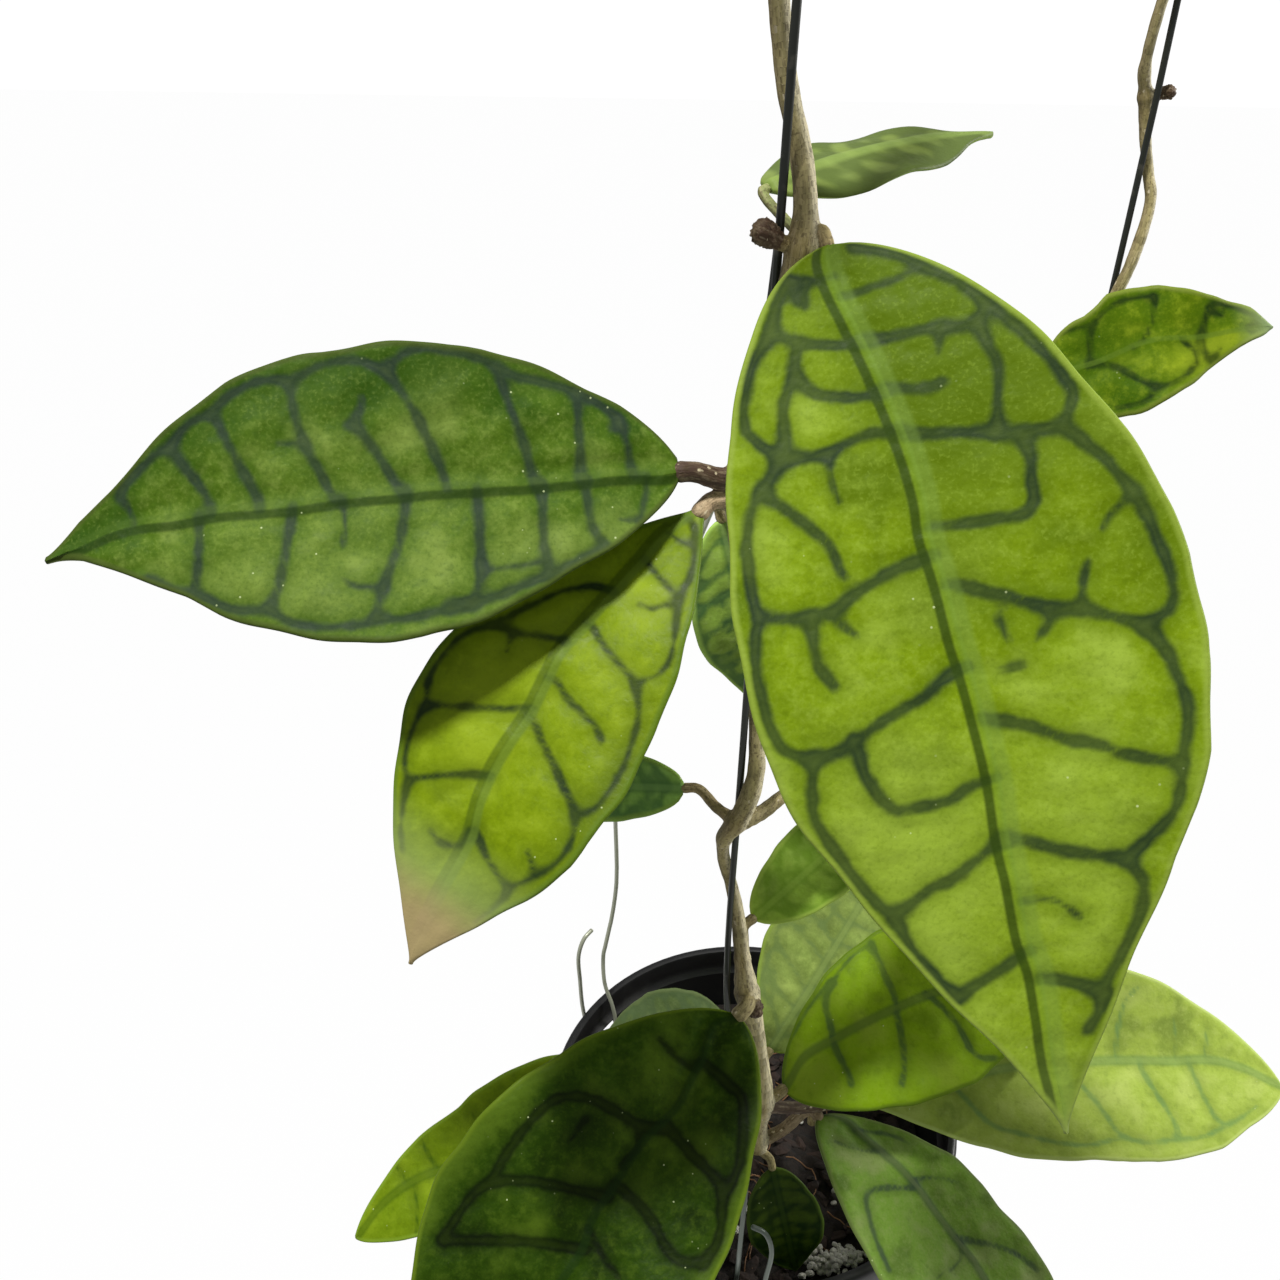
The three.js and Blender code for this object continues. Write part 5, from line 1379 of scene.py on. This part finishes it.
for leaf in (*FRONT_LEAVES, *RIGHT_LEAVES):
    leaf = {**LEAF_PLAIN, **leaf}
    number = int(leaf["name"][-2:])
    chance = np.random.default_rng(LEAF_SEED + number)
    length = float(np.linalg.norm(np.array(leaf["tip"], float) - np.array(leaf["base"], float)))
    young = number in YOUNG_LEAVES
    pitch = PITCH.get(leaf["name"], PITCH_YOUNG if young else PITCH_PLAIN)
    along = round(length / pitch)
    across = round(leaf["width"] / pitch * 1.15)
    even = np.linspace(0, 1, along + 1)
    u = 0.7 * even + 0.3 * (0.5 - 0.5 * np.cos(np.pi * even))
    s = np.linspace(-1, 1, across + 1)
    v = 0.45 * s + 0.55 * np.sin(np.pi / 2 * s)
    uu, vv = np.meshgrid(u, v, indexing="ij")
    half = margin_at(uu, vv, leaf)

    # the midrib and the veins, on the blade laid flat, in millimetres
    traced = drawn_veins(VEINS[leaf["name"]]) if leaf["name"] in VEINS else []
    if traced:
        rib_line = traced[0][1]
        rib = np.interp(u, [0, *rib_line[:, 0], 1], [0, *rib_line[:, 1], 0]) * half_width(u, leaf)
        for _ in range(6):
            rib[1:-1] = (rib[:-2] + 2 * rib[1:-1] + rib[2:]) / 4
    else:
        rib = np.zeros(len(u))
    lines = traced[1:]
    if leaf["name"] not in DRAWN_WHOLE:
        seen = [line[:, 0] for _, line in lines]
        if not seen:
            lines = grown_veins(chance, 0.02, 0.98)
        else:
            low, high = min(map(np.min, seen)), max(map(np.max, seen))
            if low > GROWN_BEFORE:
                lines = lines + grown_veins(chance, 0.02, low)
            if high < GROWN_BEYOND:
                lines = lines + grown_veins(chance, high, 0.98)
    flat = np.stack([uu * length, vv * half], -1).reshape(-1, 2)
    broader = 0.7 if leaf["width"] < 30 and leaf["name"] not in VEINS else 1.0
    broader *= VEIN_WIDTH.get(leaf["name"], 1.0)
    gaps = [distance_to(flat, flat_places(rounded(line), leaf, length), broader * width,
                        0.5 if width < 0.65 else 0.15)
            for width, line in lines]
    vein = -VEIN_WEB * np.log(sum(np.exp(-np.minimum(gap, 25) / VEIN_WEB) for gap in gaps))
    vein = vein.reshape(uu.shape)
    rib_mm = vv * half - rib[:, None]
    edge_mm = (1 - np.abs(vv)) * half

    # middle surface, its normal, and the two faces with their relief
    middle = blade_points(leaf, uu, vv, rib[:, None])
    d_along = np.gradient(middle, axis=0)
    d_across = np.gradient(middle, axis=1)
    normal = np.cross(d_across, d_along)
    normal /= np.linalg.norm(normal, axis=2, keepdims=True)
    thick = BLADE_THICKNESS + (MARGIN_THICKNESS - BLADE_THICKNESS) * vv * vv
    rim = np.clip(edge_mm / (thick * 0.5), 0, 1)
    thick = thick * np.sqrt(np.clip(1 - (1 - rim) ** 2, 0, 1)) + 0.02
    calm = smooth_step(edge_mm, 0.3, 2.5)
    cushion = (CUSHION_RISE * smooth_step(vein, 0.2, 5.0)
               - VEIN_DEPTH * np.exp(-np.clip(vein, 0, None) / 0.9))
    ridge = (MIDRIB_RISE * np.exp(-(rib_mm / 1.1) ** 2)
             - FURROW_DEPTH * np.exp(-((np.abs(rib_mm) - 2.7) / 1.4) ** 2))
    waves = sum(a * np.sin(uu * length * f * c + vv * half * f * d + p)
                for f, a in ((0.35, 0.10), (0.8, 0.05)) for c, d, p in chance.normal(0, 1, (3, 3)))
    scale = min(1.0, leaf["width"] / 45) * RELIEF.get(leaf["name"], RELIEF_PLAIN)
    relief = calm * scale * (cushion + ridge * (1 - 0.7 * uu) + waves)
    keel = MIDRIB_KEEL * (1 - uu) * np.exp(-(rib_mm / 1.3) ** 2) * calm
    upper = middle + normal * (thick / 2 + relief)[..., None]
    lower = middle - normal * (thick / 2 + keel - relief * 0.6)[..., None]
    places = np.concatenate([upper, lower[:, ::-1], upper[:, :1]], axis=1)

    # patches of painted light and painted shade, with some of the blade's own tone
    painted_light_shade = sum((share * np.exp(-((uu - at) / wide) ** 2 - ((vv - side) / tall) ** 2)
                 for at, side, wide, tall, share in PAINTED_LIGHT_PATCHES.get(leaf["name"], ())), uu * 0)

    facing = np.ones(uu.shape)
    blade = laid_grid(leaf["name"] + "_blade", places, {
        "vein_mm": both_faces(vein), "rib_mm": both_faces(rib_mm), "edge_mm": both_faces(edge_mm),
        "upper": np.concatenate([facing, facing * 0, facing[:, :1]], axis=1), "along": both_faces(uu),
        "painted_light_shade": both_faces(painted_light_shade)})
    colours = YOUNG_COLOURS if young else LEAF_COLOURS.get(leaf["name"], OTHER_COLOURS)
    blade.data.materials.append(blade_material(
        "hoya_leaf_skin_%02d" % number, colours, TIPS.get(leaf["name"]),
        MATT.get(leaf["name"], 0.0), RIB_LOOKS.get(leaf["name"], ())))
    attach(blade, "root")
    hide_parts(leaf["name"])
